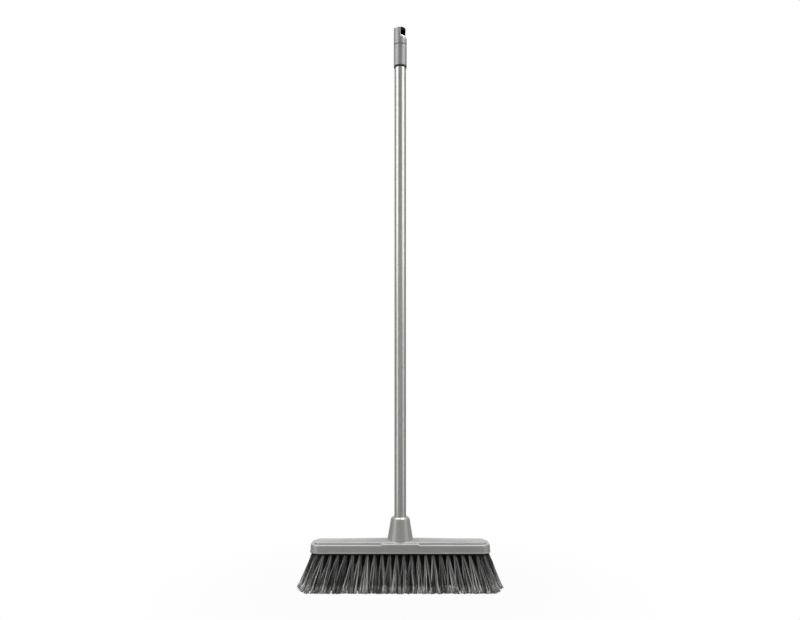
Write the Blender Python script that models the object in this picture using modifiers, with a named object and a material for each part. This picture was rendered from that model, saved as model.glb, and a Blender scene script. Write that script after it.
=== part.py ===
"""Soft bristle broom: a steel handle with a turning hanger, screwed into a head with five rows of bristles.

Metres, +Z up. The broom stands on its bristle tips at z = 0, with the handle's axis on the Z axis and the
head's length along X. The front faces -Y.
"""

from math import ceil, cos, floor, pi, radians, sin, sqrt, tau

import bmesh
import bpy
from mathutils import Matrix

# Clearances
FIT_GAP = 0.0003
THREAD_CLEARANCE = 0.0004
CUT_OVERRUN = 0.0020
MERGE_DISTANCE = 0.00001

# Bristles
BRISTLE_LENGTH = 0.0770
ROW_COUNT = 5
TUFT_PITCH = 0.0144
TUFT_END_MARGIN = 0.0035
END_LEAN = 0.0316
END_LEAN_POWER = 1.6
SIDE_LEAN = 0.0140
STRAND_ROOT_RADIUS = 0.0010
STRAND_TIP_RADIUS = 0.0021
STRAND_SIDES = 3
STRAND_ROOT_X = 0.0013
STRAND_ROOT_Y = 0.0011
STRAND_TIP_X = 0.0040
STRAND_TIP_Y = 0.0040
ROOT_SINK = 0.0010

# Block that holds the tufts
STRIP_THICKNESS = 0.0030
BLOCK_THICKNESS = 0.0095

# Cover of the head
HEAD_LENGTH = 0.3630
HEAD_DEPTH = 0.0640
HEAD_CORNER_RADIUS = 0.0200
SKIRT_WALL = 0.0024
SKIRT_REACH = 0.0015
SKIRT_DRAFT = 0.0015
LIP_RADIUS = 0.0016
COVER_TOP_WALL = 0.0019
RIM_RADIUS = 0.0020
SHOULDER_RISE = 0.0003
GROOVE_INSET = 0.0084
GROOVE_WIDTH = 0.0016
GROOVE_DEPTH = 0.0006
PANEL_RISE = 0.0033
CROWN_RISE = 0.0030
PAD_HALF_LENGTH = 0.0350
PAD_RUN = 0.0060
PAD_RISE = 0.0020

# Socket of the head
SOCKET_HEIGHT = 0.0501
SOCKET_BASE_RADIUS = 0.0267
SOCKET_TOP_RADIUS = 0.0189
SOCKET_MOUTH_RADIUS = 0.0150
SOCKET_SHOULDER = 0.0036
FLARE_WIDTH = 0.0012
FLARE_HEIGHT = 0.0030
FLARE_FOOT = 0.0006
TUBE_SEAT_DEPTH = 0.0060
NOSE_ROOM = 0.0040

# Thread
THREAD_PITCH = 0.0050
THREAD_CORE_RADIUS = 0.0095
THREAD_RIDGE_RADIUS = 0.0012
THREAD_LENGTH = 0.0225
THREAD_START = 0.0025
THREAD_RUN = 0.0175
THREAD_STEPS = 16
NOSE_CHAMFER = 0.0020

# Tube and its lower plug
TUBE_RADIUS = 0.0120
TUBE_WALL = 0.0004
TUBE_LENGTH = 0.9704
TIP_COLLAR_THICKNESS = 0.0012
TIP_STEM_LENGTH = 0.0300
STEM_CHAMFER = 0.0010

# Grip at the top of the tube
GRIP_RADIUS = 0.0135
GRIP_REACH = 0.0377
GRIP_LID_THICKNESS = 0.0015
GRIP_TOP_RIM = 0.0040
GRIP_RIM_WALL = 0.0010
GRIP_EDGE = 0.0006
RING_HEIGHT = 0.0027
RING_RADIUS = 0.0132

# Upper plug with the pin that the hanger turns on
PLUG_STEM_LENGTH = 0.0300
PLUG_FLANGE_THICKNESS = 0.0015
PIN_RADIUS = 0.0045
PIN_LENGTH = 0.0114
PIN_HEAD_RADIUS = 0.0056
PIN_HEAD_HEIGHT = 0.0031
PIN_CHAMFER = 0.0010

# Hanger
HANGER_HEIGHT = 0.0364
HANGER_TOP_EDGE = 0.0018
HANGER_TURN = radians(60.0)
CORE_RADIUS = 0.0112
CORE_HEIGHT = 0.0199
CORE_TOP_WALL = 0.0025
WINDOW_HALF_ANGLE = radians(63.5)
BACK_WINDOW_HALF_ANGLE = radians(47.0)
WINDOW_SILL = 0.0030
WINDOW_CHAMFER = 0.0022
EYE_WIDTH = 0.0160
EYE_HEIGHT = 0.0130
EYE_SILL = 0.0034
EYE_CORNER = 0.0025

# Facets
TURNED_STEPS = 40
CORNER_STEPS = 6
SIDE_SHARES = (-1.0, -0.85, -0.65, -0.45)
CROWN_SHARES = (0.0, 0.56, 0.89, 1.0)
SMOOTH_ANGLE = radians(35.0)
EDGE_SHARE = 0.3

# Heights worked out from the sizes above
STRIP_BOTTOM = BRISTLE_LENGTH
BLOCK_BOTTOM = STRIP_BOTTOM + STRIP_THICKNESS + FIT_GAP
CEILING = BLOCK_BOTTOM + BLOCK_THICKNESS + FIT_GAP
SKIRT_BOTTOM = STRIP_BOTTOM - SKIRT_REACH
RIM_TOP = CEILING + COVER_TOP_WALL
PAD_TOP = RIM_TOP + PAD_RISE
SOCKET_TOP = PAD_TOP + SOCKET_HEIGHT
TUBE_BOTTOM = SOCKET_TOP - TUBE_SEAT_DEPTH
COLLAR_TOP = TUBE_BOTTOM - FIT_GAP
COLLAR_BOTTOM = COLLAR_TOP - TIP_COLLAR_THICKNESS
SEAT_FLOOR = COLLAR_BOTTOM - FIT_GAP
NOSE_BOTTOM = COLLAR_BOTTOM - THREAD_LENGTH
BORE_BOTTOM = NOSE_BOTTOM - NOSE_ROOM
TUBE_TOP = TUBE_BOTTOM + TUBE_LENGTH
LID_BOTTOM = TUBE_TOP + FIT_GAP
LID_TOP = LID_BOTTOM + GRIP_LID_THICKNESS
FLANGE_BOTTOM = LID_TOP + FIT_GAP
FLANGE_TOP = FLANGE_BOTTOM + PLUG_FLANGE_THICKNESS
GRIP_TOP = LID_TOP + GRIP_TOP_RIM
GRIP_BOTTOM = TUBE_TOP - GRIP_REACH
RING_TOP = GRIP_BOTTOM - FIT_GAP
RING_BOTTOM = RING_TOP - RING_HEIGHT
HANGER_BOTTOM = GRIP_TOP + FIT_GAP
HANGER_TOP = HANGER_BOTTOM + HANGER_HEIGHT
PIN_TOP = FLANGE_TOP + PIN_LENGTH
CORE_TOP = HANGER_TOP - CORE_TOP_WALL
CORE_BOTTOM = CORE_TOP - CORE_HEIGHT

# Radii worked out from the sizes above
TUBE_BORE_RADIUS = TUBE_RADIUS - TUBE_WALL
STEM_RADIUS = TUBE_BORE_RADIUS - FIT_GAP
SLEEVE_BORE_RADIUS = TUBE_RADIUS + FIT_GAP
BORE_RADIUS = THREAD_CORE_RADIUS + THREAD_CLEARANCE
GRIP_RIM_BORE_RADIUS = GRIP_RADIUS - GRIP_RIM_WALL
BLOCK_INSET = SKIRT_WALL + SKIRT_DRAFT + FIT_GAP
BLOCK_DEPTH = HEAD_DEPTH - 2 * BLOCK_INSET
BLOCK_CORNER_RADIUS = HEAD_CORNER_RADIUS - BLOCK_INSET
STRIP_DEPTH = (BLOCK_DEPTH - (ROW_COUNT - 1) * FIT_GAP) / ROW_COUNT

# Colours as linear RGB
SILVER_PLASTIC = (0.36, 0.36, 0.35)
SILVER_PAINT = (0.47, 0.47, 0.45)
BLACK_PLASTIC = (0.012, 0.012, 0.013)
GREY_BRISTLE = (0.06, 0.06, 0.062)


def clear_scene():
    for thing in list(bpy.data.objects):
        bpy.data.objects.remove(thing, do_unlink=True)


def new_collection(name):
    collection = bpy.data.collections.new(name)
    bpy.context.scene.collection.children.link(collection)
    return collection


def new_material(name, color, roughness, metallic):
    material = bpy.data.materials.new(name)
    material.use_nodes = True
    shader = material.node_tree.nodes["Principled BSDF"]
    shader.inputs["Base Color"].default_value = (*color, 1.0)
    shader.inputs["Roughness"].default_value = roughness
    shader.inputs["Metallic"].default_value = metallic
    return material


def new_object(name, mesh, collection, material=None):
    thing = bpy.data.objects.new(name, mesh)
    collection.objects.link(thing)
    if material:
        mesh.materials.append(material)
    return thing


def helper(thing):
    """Marks an object as one that only cuts, joins or guides another."""
    thing.hide_render = True
    thing.display_type = "WIRE"
    return thing


def mesh_from_bmesh(name, shape):
    bmesh.ops.remove_doubles(shape, verts=shape.verts, dist=MERGE_DISTANCE)
    bmesh.ops.recalc_face_normals(shape, faces=shape.faces)
    mesh = bpy.data.meshes.new(name)
    shape.to_mesh(mesh)
    shape.free()
    mesh.shade_smooth()
    mesh.set_sharp_from_angle(angle=SMOOTH_ANGLE)
    return mesh


def turned(name, profile, collection, material=None, closed=False):
    """A turned shape: (radius, height) points down the outer side, swept round the Z axis by Screw."""
    mesh = bpy.data.meshes.new(name)
    points = [(radius, 0.0, height) for radius, height in profile]
    edges = [(i, i + 1) for i in range(len(points) - 1)]
    if closed:
        edges.append((len(points) - 1, 0))
    mesh.from_pydata(points, edges, [])
    thing = new_object(name, mesh, collection, material)
    screw = thing.modifiers.new("turn", "SCREW")
    screw.axis = "Z"
    screw.angle = tau
    screw.steps = screw.render_steps = TURNED_STEPS
    screw.use_merge_vertices = True
    screw.merge_threshold = MERGE_DISTANCE
    return thing


def boolean(thing, other, operation):
    modifier = thing.modifiers.new(f"{operation.lower()} {other.name}", "BOOLEAN")
    modifier.operation = operation
    modifier.object = other
    modifier.solver = "EXACT"


def prism(name, outline, low, high, collection, material=None):
    """A flat outline of (x, y) points, extruded from one height to another."""
    shape = bmesh.new()
    base = shape.faces.new([shape.verts.new((x, y, low)) for x, y in outline])
    extruded = bmesh.ops.extrude_face_region(shape, geom=[base])["geom"]
    top = [item for item in extruded if isinstance(item, bmesh.types.BMVert)]
    bmesh.ops.translate(shape, verts=top, vec=(0.0, 0.0, high - low))
    return new_object(name, mesh_from_bmesh(name, shape), collection, material)


def tube_mesh(name, points, radius, collection, end_radii=None):
    """A round bar along a list of points, as a bevelled curve made into a closed mesh."""
    curve = bpy.data.curves.new(name, "CURVE")
    curve.dimensions = "3D"
    curve.bevel_depth = radius
    curve.bevel_resolution = 2
    curve.use_fill_caps = True
    spline = curve.splines.new("POLY")
    spline.points.add(len(points) - 1)
    for index, (place, share) in enumerate(zip(points, end_radii or [1.0] * len(points))):
        spline.points[index].co = (*place, 1.0)
        spline.points[index].radius = share
    guide = bpy.data.objects.new(name + "_guide", curve)
    collection.objects.link(guide)
    graph = bpy.context.evaluated_depsgraph_get()
    mesh = bpy.data.meshes.new_from_object(guide.evaluated_get(graph))
    bpy.data.objects.remove(guide, do_unlink=True)
    shape = bmesh.new()
    shape.from_mesh(mesh)
    return new_object(name, mesh_from_bmesh(name, shape), collection)


def head_outline(inset):
    """The head's rounded rectangle, drawn in by an inset, counterclockwise from the front left corner.

    Every inset gives the same number of points, so that two outlines can be joined point by point. Past the
    corner radius the corners are sharp, and at half the depth the outline is a line along X.
    """
    half_length = HEAD_LENGTH / 2 - inset
    half_depth = HEAD_DEPTH / 2 - inset
    radius = max(HEAD_CORNER_RADIUS - inset, 0.0)
    run = half_length - radius
    side = side_places(run)
    points = [(x, -half_depth) for x in side]
    points += corner(run, radius - half_depth, radius, -pi / 2)
    points += corner(run, half_depth - radius, radius, 0.0)
    points += [(-x, half_depth) for x in side]
    points += corner(-run, half_depth - radius, radius, pi / 2)
    points += corner(-run, radius - half_depth, radius, pi)
    return points


def side_places(run):
    """X of the points along a straight side: even outside the pad, and at the ends of both its slopes."""
    outer = [share * run for share in SIDE_SHARES]
    inner = [-PAD_HALF_LENGTH - PAD_RUN, -PAD_HALF_LENGTH - PAD_RUN / 2, -PAD_HALF_LENGTH, 0.0]
    left = outer + inner
    return left + [-x for x in reversed(left[:-1])]


def corner(x, y, radius, start):
    """The inner points of a quarter round, without the ends that the straight sides hold."""
    turns = [start + pi / 2 * step / CORNER_STEPS for step in range(1, CORNER_STEPS)]
    if abs(start) == pi / 2:
        turns.append(start + pi / 2)
    else:
        turns.insert(0, start)
    return [(x + radius * cos(turn), y + radius * sin(turn)) for turn in turns]


def pad_share(x):
    """1 on the raised pad round the socket, 0 beyond its slopes, smooth between."""
    share = min(max((PAD_HALF_LENGTH + PAD_RUN - abs(x)) / PAD_RUN, 0.0), 1.0)
    return share * share * (3.0 - 2.0 * share)


def top_ring(inset, height, rides_up=True):
    """A ring of the cover's top: its outline, lifted to the pad's height where it crosses the pad."""
    lift = PAD_TOP - height if rides_up else PAD_RISE
    return [(x, y, height + lift * pad_share(x)) for x, y in head_outline(inset)]


def flat_ring(inset, height):
    return [(x, y, height) for x, y in head_outline(inset)]


def crown_rings(start, end, height):
    """The rings of the raised panel from one inset to another. Its edge stands upright over the groove, its dome
    falls off towards both ends of the head, and only where it is lower than the pad does the pad show."""
    half = HEAD_LENGTH / 2
    rings = []
    for index, share in enumerate(CROWN_SHARES):
        inset = start + (end - start) * index / (len(CROWN_SHARES) - 1)
        ring = []
        for x, y in head_outline(inset):
            crowned = height + PANEL_RISE + CROWN_RISE * share * (1.0 - (x / half) ** 2)
            ring.append((x, y, crowned + max(PAD_TOP - crowned, 0.0) * pad_share(x)))
        rings.append(ring)
    return rings


def loft(name, rings, collection, material=None):
    """A closed body through rings of equal counts, whose first and last rings are closed up."""
    shape = bmesh.new()
    loops = [[shape.verts.new(place) for place in ring] for ring in rings]
    count = len(rings[0])
    for low, high in zip(loops, loops[1:]):
        for i in range(count):
            j = (i + 1) % count
            shape.faces.new((low[i], low[j], high[j], high[i]))
    return new_object(name, mesh_from_bmesh(name, shape), collection, material)


def cover_body(collection, material):
    """The cover without its socket: a drafted skirt with a rolled lip, a ledge with a groove, and a raised panel."""
    spine = HEAD_DEPTH / 2
    inner = SKIRT_WALL + SKIRT_DRAFT
    shoulder = RIM_TOP + SHOULDER_RISE
    rings = [
        flat_ring(spine, CEILING),
        flat_ring(inner, CEILING),
        flat_ring(inner, SKIRT_BOTTOM),
        flat_ring(LIP_RADIUS, SKIRT_BOTTOM),
        flat_ring(0.0, SKIRT_BOTTOM + LIP_RADIUS),
        top_ring(SKIRT_DRAFT, RIM_TOP - RIM_RADIUS, rides_up=False),
        top_ring(SKIRT_DRAFT + RIM_RADIUS * EDGE_SHARE, RIM_TOP - RIM_RADIUS * EDGE_SHARE, rides_up=False),
        top_ring(SKIRT_DRAFT + RIM_RADIUS, RIM_TOP),
        top_ring(GROOVE_INSET, shoulder),
        top_ring(GROOVE_INSET + GROOVE_WIDTH / 2, shoulder - GROOVE_DEPTH),
        *crown_rings(GROOVE_INSET + GROOVE_WIDTH, spine, shoulder),
    ]
    return loft("head_cover", rings, collection, material)


def socket_profile():
    """Down the outer side of the socket: rounded shoulder, cone, and the flare at its foot."""
    shoulder = SOCKET_TOP - SOCKET_SHOULDER
    slope = (SOCKET_BASE_RADIUS - SOCKET_TOP_RADIUS) / (shoulder - PAD_TOP)
    flare_top = PAD_TOP + FLARE_HEIGHT
    flare_radius = SOCKET_BASE_RADIUS - slope * FLARE_HEIGHT
    foot = SOCKET_BASE_RADIUS + FLARE_WIDTH
    round_over = SOCKET_TOP_RADIUS - SOCKET_MOUTH_RADIUS
    profile = [(0.0, SOCKET_TOP), (SOCKET_MOUTH_RADIUS, SOCKET_TOP)]
    for turn in (pi / 6, pi / 3):
        radius = SOCKET_MOUTH_RADIUS + round_over * sin(turn)
        profile.append((radius, shoulder + SOCKET_SHOULDER * cos(turn)))
    profile += [
        (SOCKET_TOP_RADIUS, shoulder),
        (flare_radius, flare_top),
        (foot, PAD_TOP + FLARE_FOOT),
        (foot, CEILING + COVER_TOP_WALL / 2),
        (0.0, CEILING + COVER_TOP_WALL / 2),
    ]
    return profile


def bore_profile():
    """Down the side of the socket's bore: the seat of the tube, then the hole for the thread."""
    return [
        (0.0, SOCKET_TOP + CUT_OVERRUN),
        (SLEEVE_BORE_RADIUS, SOCKET_TOP + CUT_OVERRUN),
        (SLEEVE_BORE_RADIUS, SEAT_FLOOR),
        (BORE_RADIUS, SEAT_FLOOR),
        (BORE_RADIUS, BORE_BOTTOM),
        (0.0, BORE_BOTTOM),
    ]


def thread_helix(low, high):
    """Points of the right-hand thread's centre line. Ridge and groove share its phase, so they mesh."""
    count = ceil((high - low) / THREAD_PITCH * THREAD_STEPS)
    points = []
    for step in range(count + 1):
        height = low + (high - low) * step / count
        turn = tau * (height - NOSE_BOTTOM) / THREAD_PITCH
        points.append((THREAD_CORE_RADIUS * cos(turn), THREAD_CORE_RADIUS * sin(turn), height))
    return points


def head_cover(parts, cutters, material):
    cover = cover_body(parts, material)
    socket = helper(turned("socket_form", socket_profile(), cutters))
    bore = helper(turned("socket_bore_cutter", bore_profile(), cutters))
    groove_low = NOSE_BOTTOM + THREAD_START - THREAD_CLEARANCE
    groove = thread_helix(groove_low, SEAT_FLOOR + CUT_OVERRUN)
    groove_cutter = tube_mesh("socket_thread_cutter", groove, THREAD_RIDGE_RADIUS + THREAD_CLEARANCE, cutters)
    boolean(cover, socket, "UNION")
    boolean(cover, bore, "DIFFERENCE")
    boolean(cover, helper(groove_cutter), "DIFFERENCE")
    return cover


def bristle_block(parts, material):
    return prism(
        "bristle_block", head_outline(BLOCK_INSET), BLOCK_BOTTOM, BLOCK_BOTTOM + BLOCK_THICKNESS, parts, material
    )


def block_half_length(y):
    """Half the block's length at a distance from its long middle line."""
    half = HEAD_LENGTH / 2 - BLOCK_INSET
    past = abs(y) - (BLOCK_DEPTH / 2 - BLOCK_CORNER_RADIUS)
    if past <= 0.0:
        return half
    return half - BLOCK_CORNER_RADIUS + sqrt(max(BLOCK_CORNER_RADIUS**2 - past**2, 0.0))


def strip_outline(row):
    """The slice of the block's face that carries one row: its ends follow the block's rounded corners."""
    low = -BLOCK_DEPTH / 2 + row * (STRIP_DEPTH + FIT_GAP)
    places = [low + STRIP_DEPTH * step / CORNER_STEPS for step in range(CORNER_STEPS + 1)]
    right = [(block_half_length(y), y) for y in places]
    return right + [(-x, y) for x, y in reversed(right)]


def row_middle(row):
    return -BLOCK_DEPTH / 2 + row * (STRIP_DEPTH + FIT_GAP) + STRIP_DEPTH / 2


def tuft_places(row):
    """X of each tuft in a row. Every other row is set half a pitch along, and the corners end it sooner."""
    reach = abs(row_middle(row)) + STRAND_ROOT_Y + STRAND_ROOT_RADIUS
    room = block_half_length(reach) - TUFT_END_MARGIN
    if row % 2 == 0:
        count = 2 * floor(room / TUFT_PITCH + 1 / 2)
    else:
        count = 2 * floor(room / TUFT_PITCH) + 1
    return [(index - (count - 1) / 2) * TUFT_PITCH for index in range(count)]


def tip_of(x, y):
    """Where a tuft's middle meets the floor: it leans out towards the ends and the sides."""
    half = HEAD_LENGTH / 2
    end_lean = END_LEAN * (abs(x) / half) ** END_LEAN_POWER
    return (x + (end_lean if x > 0 else -end_lean), y + SIDE_LEAN * y / row_middle(ROW_COUNT - 1))


def strands(row, collection):
    """The row's strands: thin three-sided bars from the strip to the floor, spread within each tuft."""
    shape = bmesh.new()
    y = row_middle(row)
    high = STRIP_BOTTOM + ROOT_SINK
    turn = Matrix.Rotation(pi if y > 0 else 0.0, 4, "Z")
    for x in tuft_places(row):
        tip_x, tip_y = tip_of(x, y)
        for side_x in (-1, 1):
            for side_y in (-1, 1):
                root = (x + side_x * STRAND_ROOT_X, y + side_y * STRAND_ROOT_Y)
                tip = (tip_x + side_x * STRAND_TIP_X, tip_y + side_y * STRAND_TIP_Y)
                lean = Matrix.Identity(4)
                lean[0][2] = (root[0] - tip[0]) / high
                lean[1][2] = (root[1] - tip[1]) / high
                middle = ((root[0] + tip[0]) / 2, (root[1] + tip[1]) / 2, high / 2)
                bmesh.ops.create_cone(
                    shape,
                    cap_ends=True,
                    segments=STRAND_SIDES,
                    radius1=STRAND_TIP_RADIUS,
                    radius2=STRAND_ROOT_RADIUS,
                    depth=high,
                    matrix=Matrix.Translation(middle) @ lean @ turn,
                )
    name = f"strands_{row + 1}"
    return helper(new_object(name, mesh_from_bmesh(name, shape), collection))


def bristle_row(row, parts, cutters, material):
    name = f"bristle_row_{row + 1}"
    strip = prism(name, strip_outline(row), STRIP_BOTTOM, STRIP_BOTTOM + STRIP_THICKNESS, parts, material)
    boolean(strip, strands(row, cutters), "UNION")
    return strip


def handle_tube(parts, material):
    profile = [
        (TUBE_RADIUS, TUBE_TOP),
        (TUBE_RADIUS, TUBE_BOTTOM),
        (TUBE_BORE_RADIUS, TUBE_BOTTOM),
        (TUBE_BORE_RADIUS, TUBE_TOP),
    ]
    return turned("handle_tube", profile, parts, material, closed=True)


def threaded_tip(parts, cutters, material):
    """The plug in the tube's lower end: a stem, a collar under the tube, and the threaded nose."""
    stem_top = COLLAR_TOP + TIP_STEM_LENGTH
    profile = [
        (0.0, stem_top),
        (STEM_RADIUS - STEM_CHAMFER, stem_top),
        (STEM_RADIUS, stem_top - STEM_CHAMFER),
        (STEM_RADIUS, COLLAR_TOP),
        (TUBE_RADIUS, COLLAR_TOP),
        (TUBE_RADIUS, COLLAR_BOTTOM),
        (THREAD_CORE_RADIUS, COLLAR_BOTTOM),
        (THREAD_CORE_RADIUS, NOSE_BOTTOM + NOSE_CHAMFER),
        (THREAD_CORE_RADIUS - NOSE_CHAMFER, NOSE_BOTTOM),
        (0.0, NOSE_BOTTOM),
    ]
    tip = turned("threaded_tip", profile, parts, material)
    low = NOSE_BOTTOM + THREAD_START
    helix = thread_helix(low, low + THREAD_RUN)
    taper = [1 / 3, 2 / 3] + [1.0] * (len(helix) - 4) + [2 / 3, 1 / 3]
    ridge = tube_mesh("thread_ridge", helix, THREAD_RIDGE_RADIUS, cutters, taper)
    boolean(tip, helper(ridge), "UNION")
    return tip


def grip_ring(parts, material):
    profile = [
        (RING_RADIUS, RING_TOP),
        (RING_RADIUS, RING_BOTTOM),
        (SLEEVE_BORE_RADIUS, RING_BOTTOM),
        (SLEEVE_BORE_RADIUS, RING_TOP),
    ]
    return turned("grip_ring", profile, parts, material, closed=True)


def grip_sleeve(parts, material):
    """The sleeve over the tube's upper end, with the lid that the plug's flange clamps on the tube's rim."""
    profile = [
        (GRIP_RIM_BORE_RADIUS, GRIP_TOP),
        (GRIP_RADIUS - GRIP_EDGE / 2, GRIP_TOP),
        (GRIP_RADIUS, GRIP_TOP - GRIP_EDGE),
        (GRIP_RADIUS, GRIP_BOTTOM + GRIP_EDGE),
        (GRIP_RADIUS - GRIP_EDGE / 2, GRIP_BOTTOM),
        (SLEEVE_BORE_RADIUS, GRIP_BOTTOM),
        (SLEEVE_BORE_RADIUS, LID_BOTTOM),
        (TUBE_BORE_RADIUS, LID_BOTTOM),
        (TUBE_BORE_RADIUS, LID_TOP),
        (GRIP_RIM_BORE_RADIUS, LID_TOP),
    ]
    return turned("grip_sleeve", profile, parts, material, closed=True)


def tube_plug(parts, material):
    """The plug in the tube's upper end: stem, flange over the sleeve's lid, and the snap-headed pin."""
    stem_bottom = TUBE_TOP - PLUG_STEM_LENGTH
    head_bottom = PIN_TOP - PIN_HEAD_HEIGHT
    flange_radius = GRIP_RIM_BORE_RADIUS - FIT_GAP
    profile = [
        (0.0, PIN_TOP),
        (PIN_HEAD_RADIUS - PIN_CHAMFER, PIN_TOP),
        (PIN_HEAD_RADIUS, PIN_TOP - PIN_CHAMFER),
        (PIN_HEAD_RADIUS, head_bottom),
        (PIN_RADIUS, head_bottom),
        (PIN_RADIUS, FLANGE_TOP),
        (flange_radius, FLANGE_TOP),
        (flange_radius, FLANGE_BOTTOM),
        (STEM_RADIUS, FLANGE_BOTTOM),
        (STEM_RADIUS, stem_bottom + STEM_CHAMFER),
        (STEM_RADIUS - STEM_CHAMFER, stem_bottom),
        (0.0, stem_bottom),
    ]
    return turned("tube_plug", profile, parts, material)


def pin_socket_profile():
    """Down the side of the hanger's hole for the pin, wider round its snap head."""
    head_bottom = PIN_TOP - PIN_HEAD_HEIGHT - FIT_GAP
    return [
        (0.0, PIN_TOP + FIT_GAP),
        (PIN_HEAD_RADIUS + FIT_GAP, PIN_TOP + FIT_GAP),
        (PIN_HEAD_RADIUS + FIT_GAP, head_bottom),
        (PIN_RADIUS + FIT_GAP, head_bottom),
        (PIN_RADIUS + FIT_GAP, FLANGE_TOP - CUT_OVERRUN),
        (0.0, FLANGE_TOP - CUT_OVERRUN),
    ]


def post_keeper(name, start, end, collection):
    """A sector over one of the two posts between the windows, which takes it out of the window cutter."""
    reach = GRIP_RADIUS + 2 * CUT_OVERRUN
    outline = [(PIN_RADIUS * cos(angle), PIN_RADIUS * sin(angle)) for angle in (end, start)]
    for step in range(2 * CORNER_STEPS + 1):
        angle = start + (end - start) * step / (2 * CORNER_STEPS)
        outline.append((reach * cos(angle), reach * sin(angle)))
    return helper(prism(name, outline, CORE_BOTTOM - CORE_HEIGHT, HANGER_TOP + CUT_OVERRUN, collection))


def window_cutter(cutters):
    """The hanger's wide front window and narrower back one: a disc with a sloping sill, less two sectors."""
    sill = CORE_BOTTOM + WINDOW_SILL
    outer = GRIP_RADIUS + CUT_OVERRUN
    slope = WINDOW_CHAMFER / (GRIP_RADIUS - CORE_RADIUS)
    profile = [
        (0.0, CORE_TOP),
        (outer, CORE_TOP),
        (outer, sill - slope * (outer - CORE_RADIUS)),
        (CORE_RADIUS, sill),
        (0.0, sill),
    ]
    cutter = turned("window_cutter", profile, cutters)
    facing = HANGER_TURN - pi / 2
    right = (facing + WINDOW_HALF_ANGLE, facing + pi - BACK_WINDOW_HALF_ANGLE)
    left = (facing - pi + BACK_WINDOW_HALF_ANGLE, facing - WINDOW_HALF_ANGLE)
    boolean(cutter, post_keeper("right_post_keeper", *right, cutters), "DIFFERENCE")
    boolean(cutter, post_keeper("left_post_keeper", *left, cutters), "DIFFERENCE")
    return helper(cutter)


def hanger_cap(parts, cutters, material):
    """The silver hanger: a foot that turns in the grip's rim, two windows and the pocket for its core."""
    foot_radius = GRIP_RIM_BORE_RADIUS - FIT_GAP
    profile = [
        (0.0, HANGER_TOP),
        (GRIP_RADIUS - HANGER_TOP_EDGE, HANGER_TOP),
        (GRIP_RADIUS - HANGER_TOP_EDGE * EDGE_SHARE, HANGER_TOP - HANGER_TOP_EDGE * EDGE_SHARE),
        (GRIP_RADIUS, HANGER_TOP - HANGER_TOP_EDGE),
        (GRIP_RADIUS, HANGER_BOTTOM + GRIP_EDGE),
        (GRIP_RADIUS - GRIP_EDGE / 2, HANGER_BOTTOM),
        (foot_radius, HANGER_BOTTOM),
        (foot_radius, FLANGE_TOP + FIT_GAP),
        (0.0, FLANGE_TOP + FIT_GAP),
    ]
    cap = turned("hanger_cap", profile, parts, material)
    pocket_radius = CORE_RADIUS + FIT_GAP
    pocket = [
        (0.0, CORE_TOP + FIT_GAP),
        (pocket_radius, CORE_TOP + FIT_GAP),
        (pocket_radius, CORE_BOTTOM - FIT_GAP),
        (0.0, CORE_BOTTOM - FIT_GAP),
    ]
    boolean(cap, helper(turned("core_pocket_cutter", pocket, cutters)), "DIFFERENCE")
    boolean(cap, window_cutter(cutters), "DIFFERENCE")
    boolean(cap, helper(turned("pin_socket_cutter", pin_socket_profile(), cutters)), "DIFFERENCE")
    return cap


def hanger_core(parts, cutters, material):
    """The black core inside the hanger, with the hanging eye through it."""
    profile = [(0.0, CORE_TOP), (CORE_RADIUS, CORE_TOP), (CORE_RADIUS, CORE_BOTTOM), (0.0, CORE_BOTTOM)]
    core = turned("hanger_core", profile, parts, material)
    low = CORE_BOTTOM + EYE_SILL
    shape = bmesh.new()
    bmesh.ops.create_cube(shape, size=1.0)
    size = (EYE_WIDTH, 2 * (CORE_RADIUS + CUT_OVERRUN), EYE_HEIGHT)
    bmesh.ops.scale(shape, vec=size, verts=shape.verts)
    long_edges = [edge for edge in shape.edges if abs(edge.verts[0].co.y - edge.verts[1].co.y) > CORE_RADIUS]
    bmesh.ops.bevel(
        shape, geom=long_edges, offset=EYE_CORNER, segments=CORNER_STEPS, profile=0.5, affect="EDGES"
    )
    eye = new_object("eye_cutter", mesh_from_bmesh("eye_cutter", shape), cutters)
    eye.location = (0.0, 0.0, low + EYE_HEIGHT / 2)
    eye.rotation_euler = (0.0, 0.0, HANGER_TURN)
    boolean(core, helper(eye), "DIFFERENCE")
    return core


def main():
    clear_scene()
    parts = new_collection("soft_bristle_broom")
    cutters = new_collection("cutters")
    cutters.hide_render = True
    silver = new_material("silver_plastic", SILVER_PLASTIC, 0.42, 0.55)
    paint = new_material("silver_paint", SILVER_PAINT, 0.30, 0.75)
    black = new_material("black_plastic", BLACK_PLASTIC, 0.50, 0.0)
    bristle = new_material("bristle", GREY_BRISTLE, 0.55, 0.0)
    head_cover(parts, cutters, silver)
    bristle_block(parts, black)
    for row in range(ROW_COUNT):
        bristle_row(row, parts, cutters, bristle)
    handle_tube(parts, paint)
    threaded_tip(parts, cutters, black)
    grip_ring(parts, black)
    grip_sleeve(parts, silver)
    tube_plug(parts, black)
    hanger_cap(parts, cutters, silver)
    hanger_core(parts, cutters, black)


main()
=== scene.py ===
"""Soft bristle broom: fine surfaces, finishes and studio.

A painted steel tube with a turning hanger is screwed into a moulded silver-grey head, which carries five rows of
grey and black bristles. Metres, +Z up, the bristle tips at z = 0, the handle's axis on Z and the front towards -Y.
"""

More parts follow.
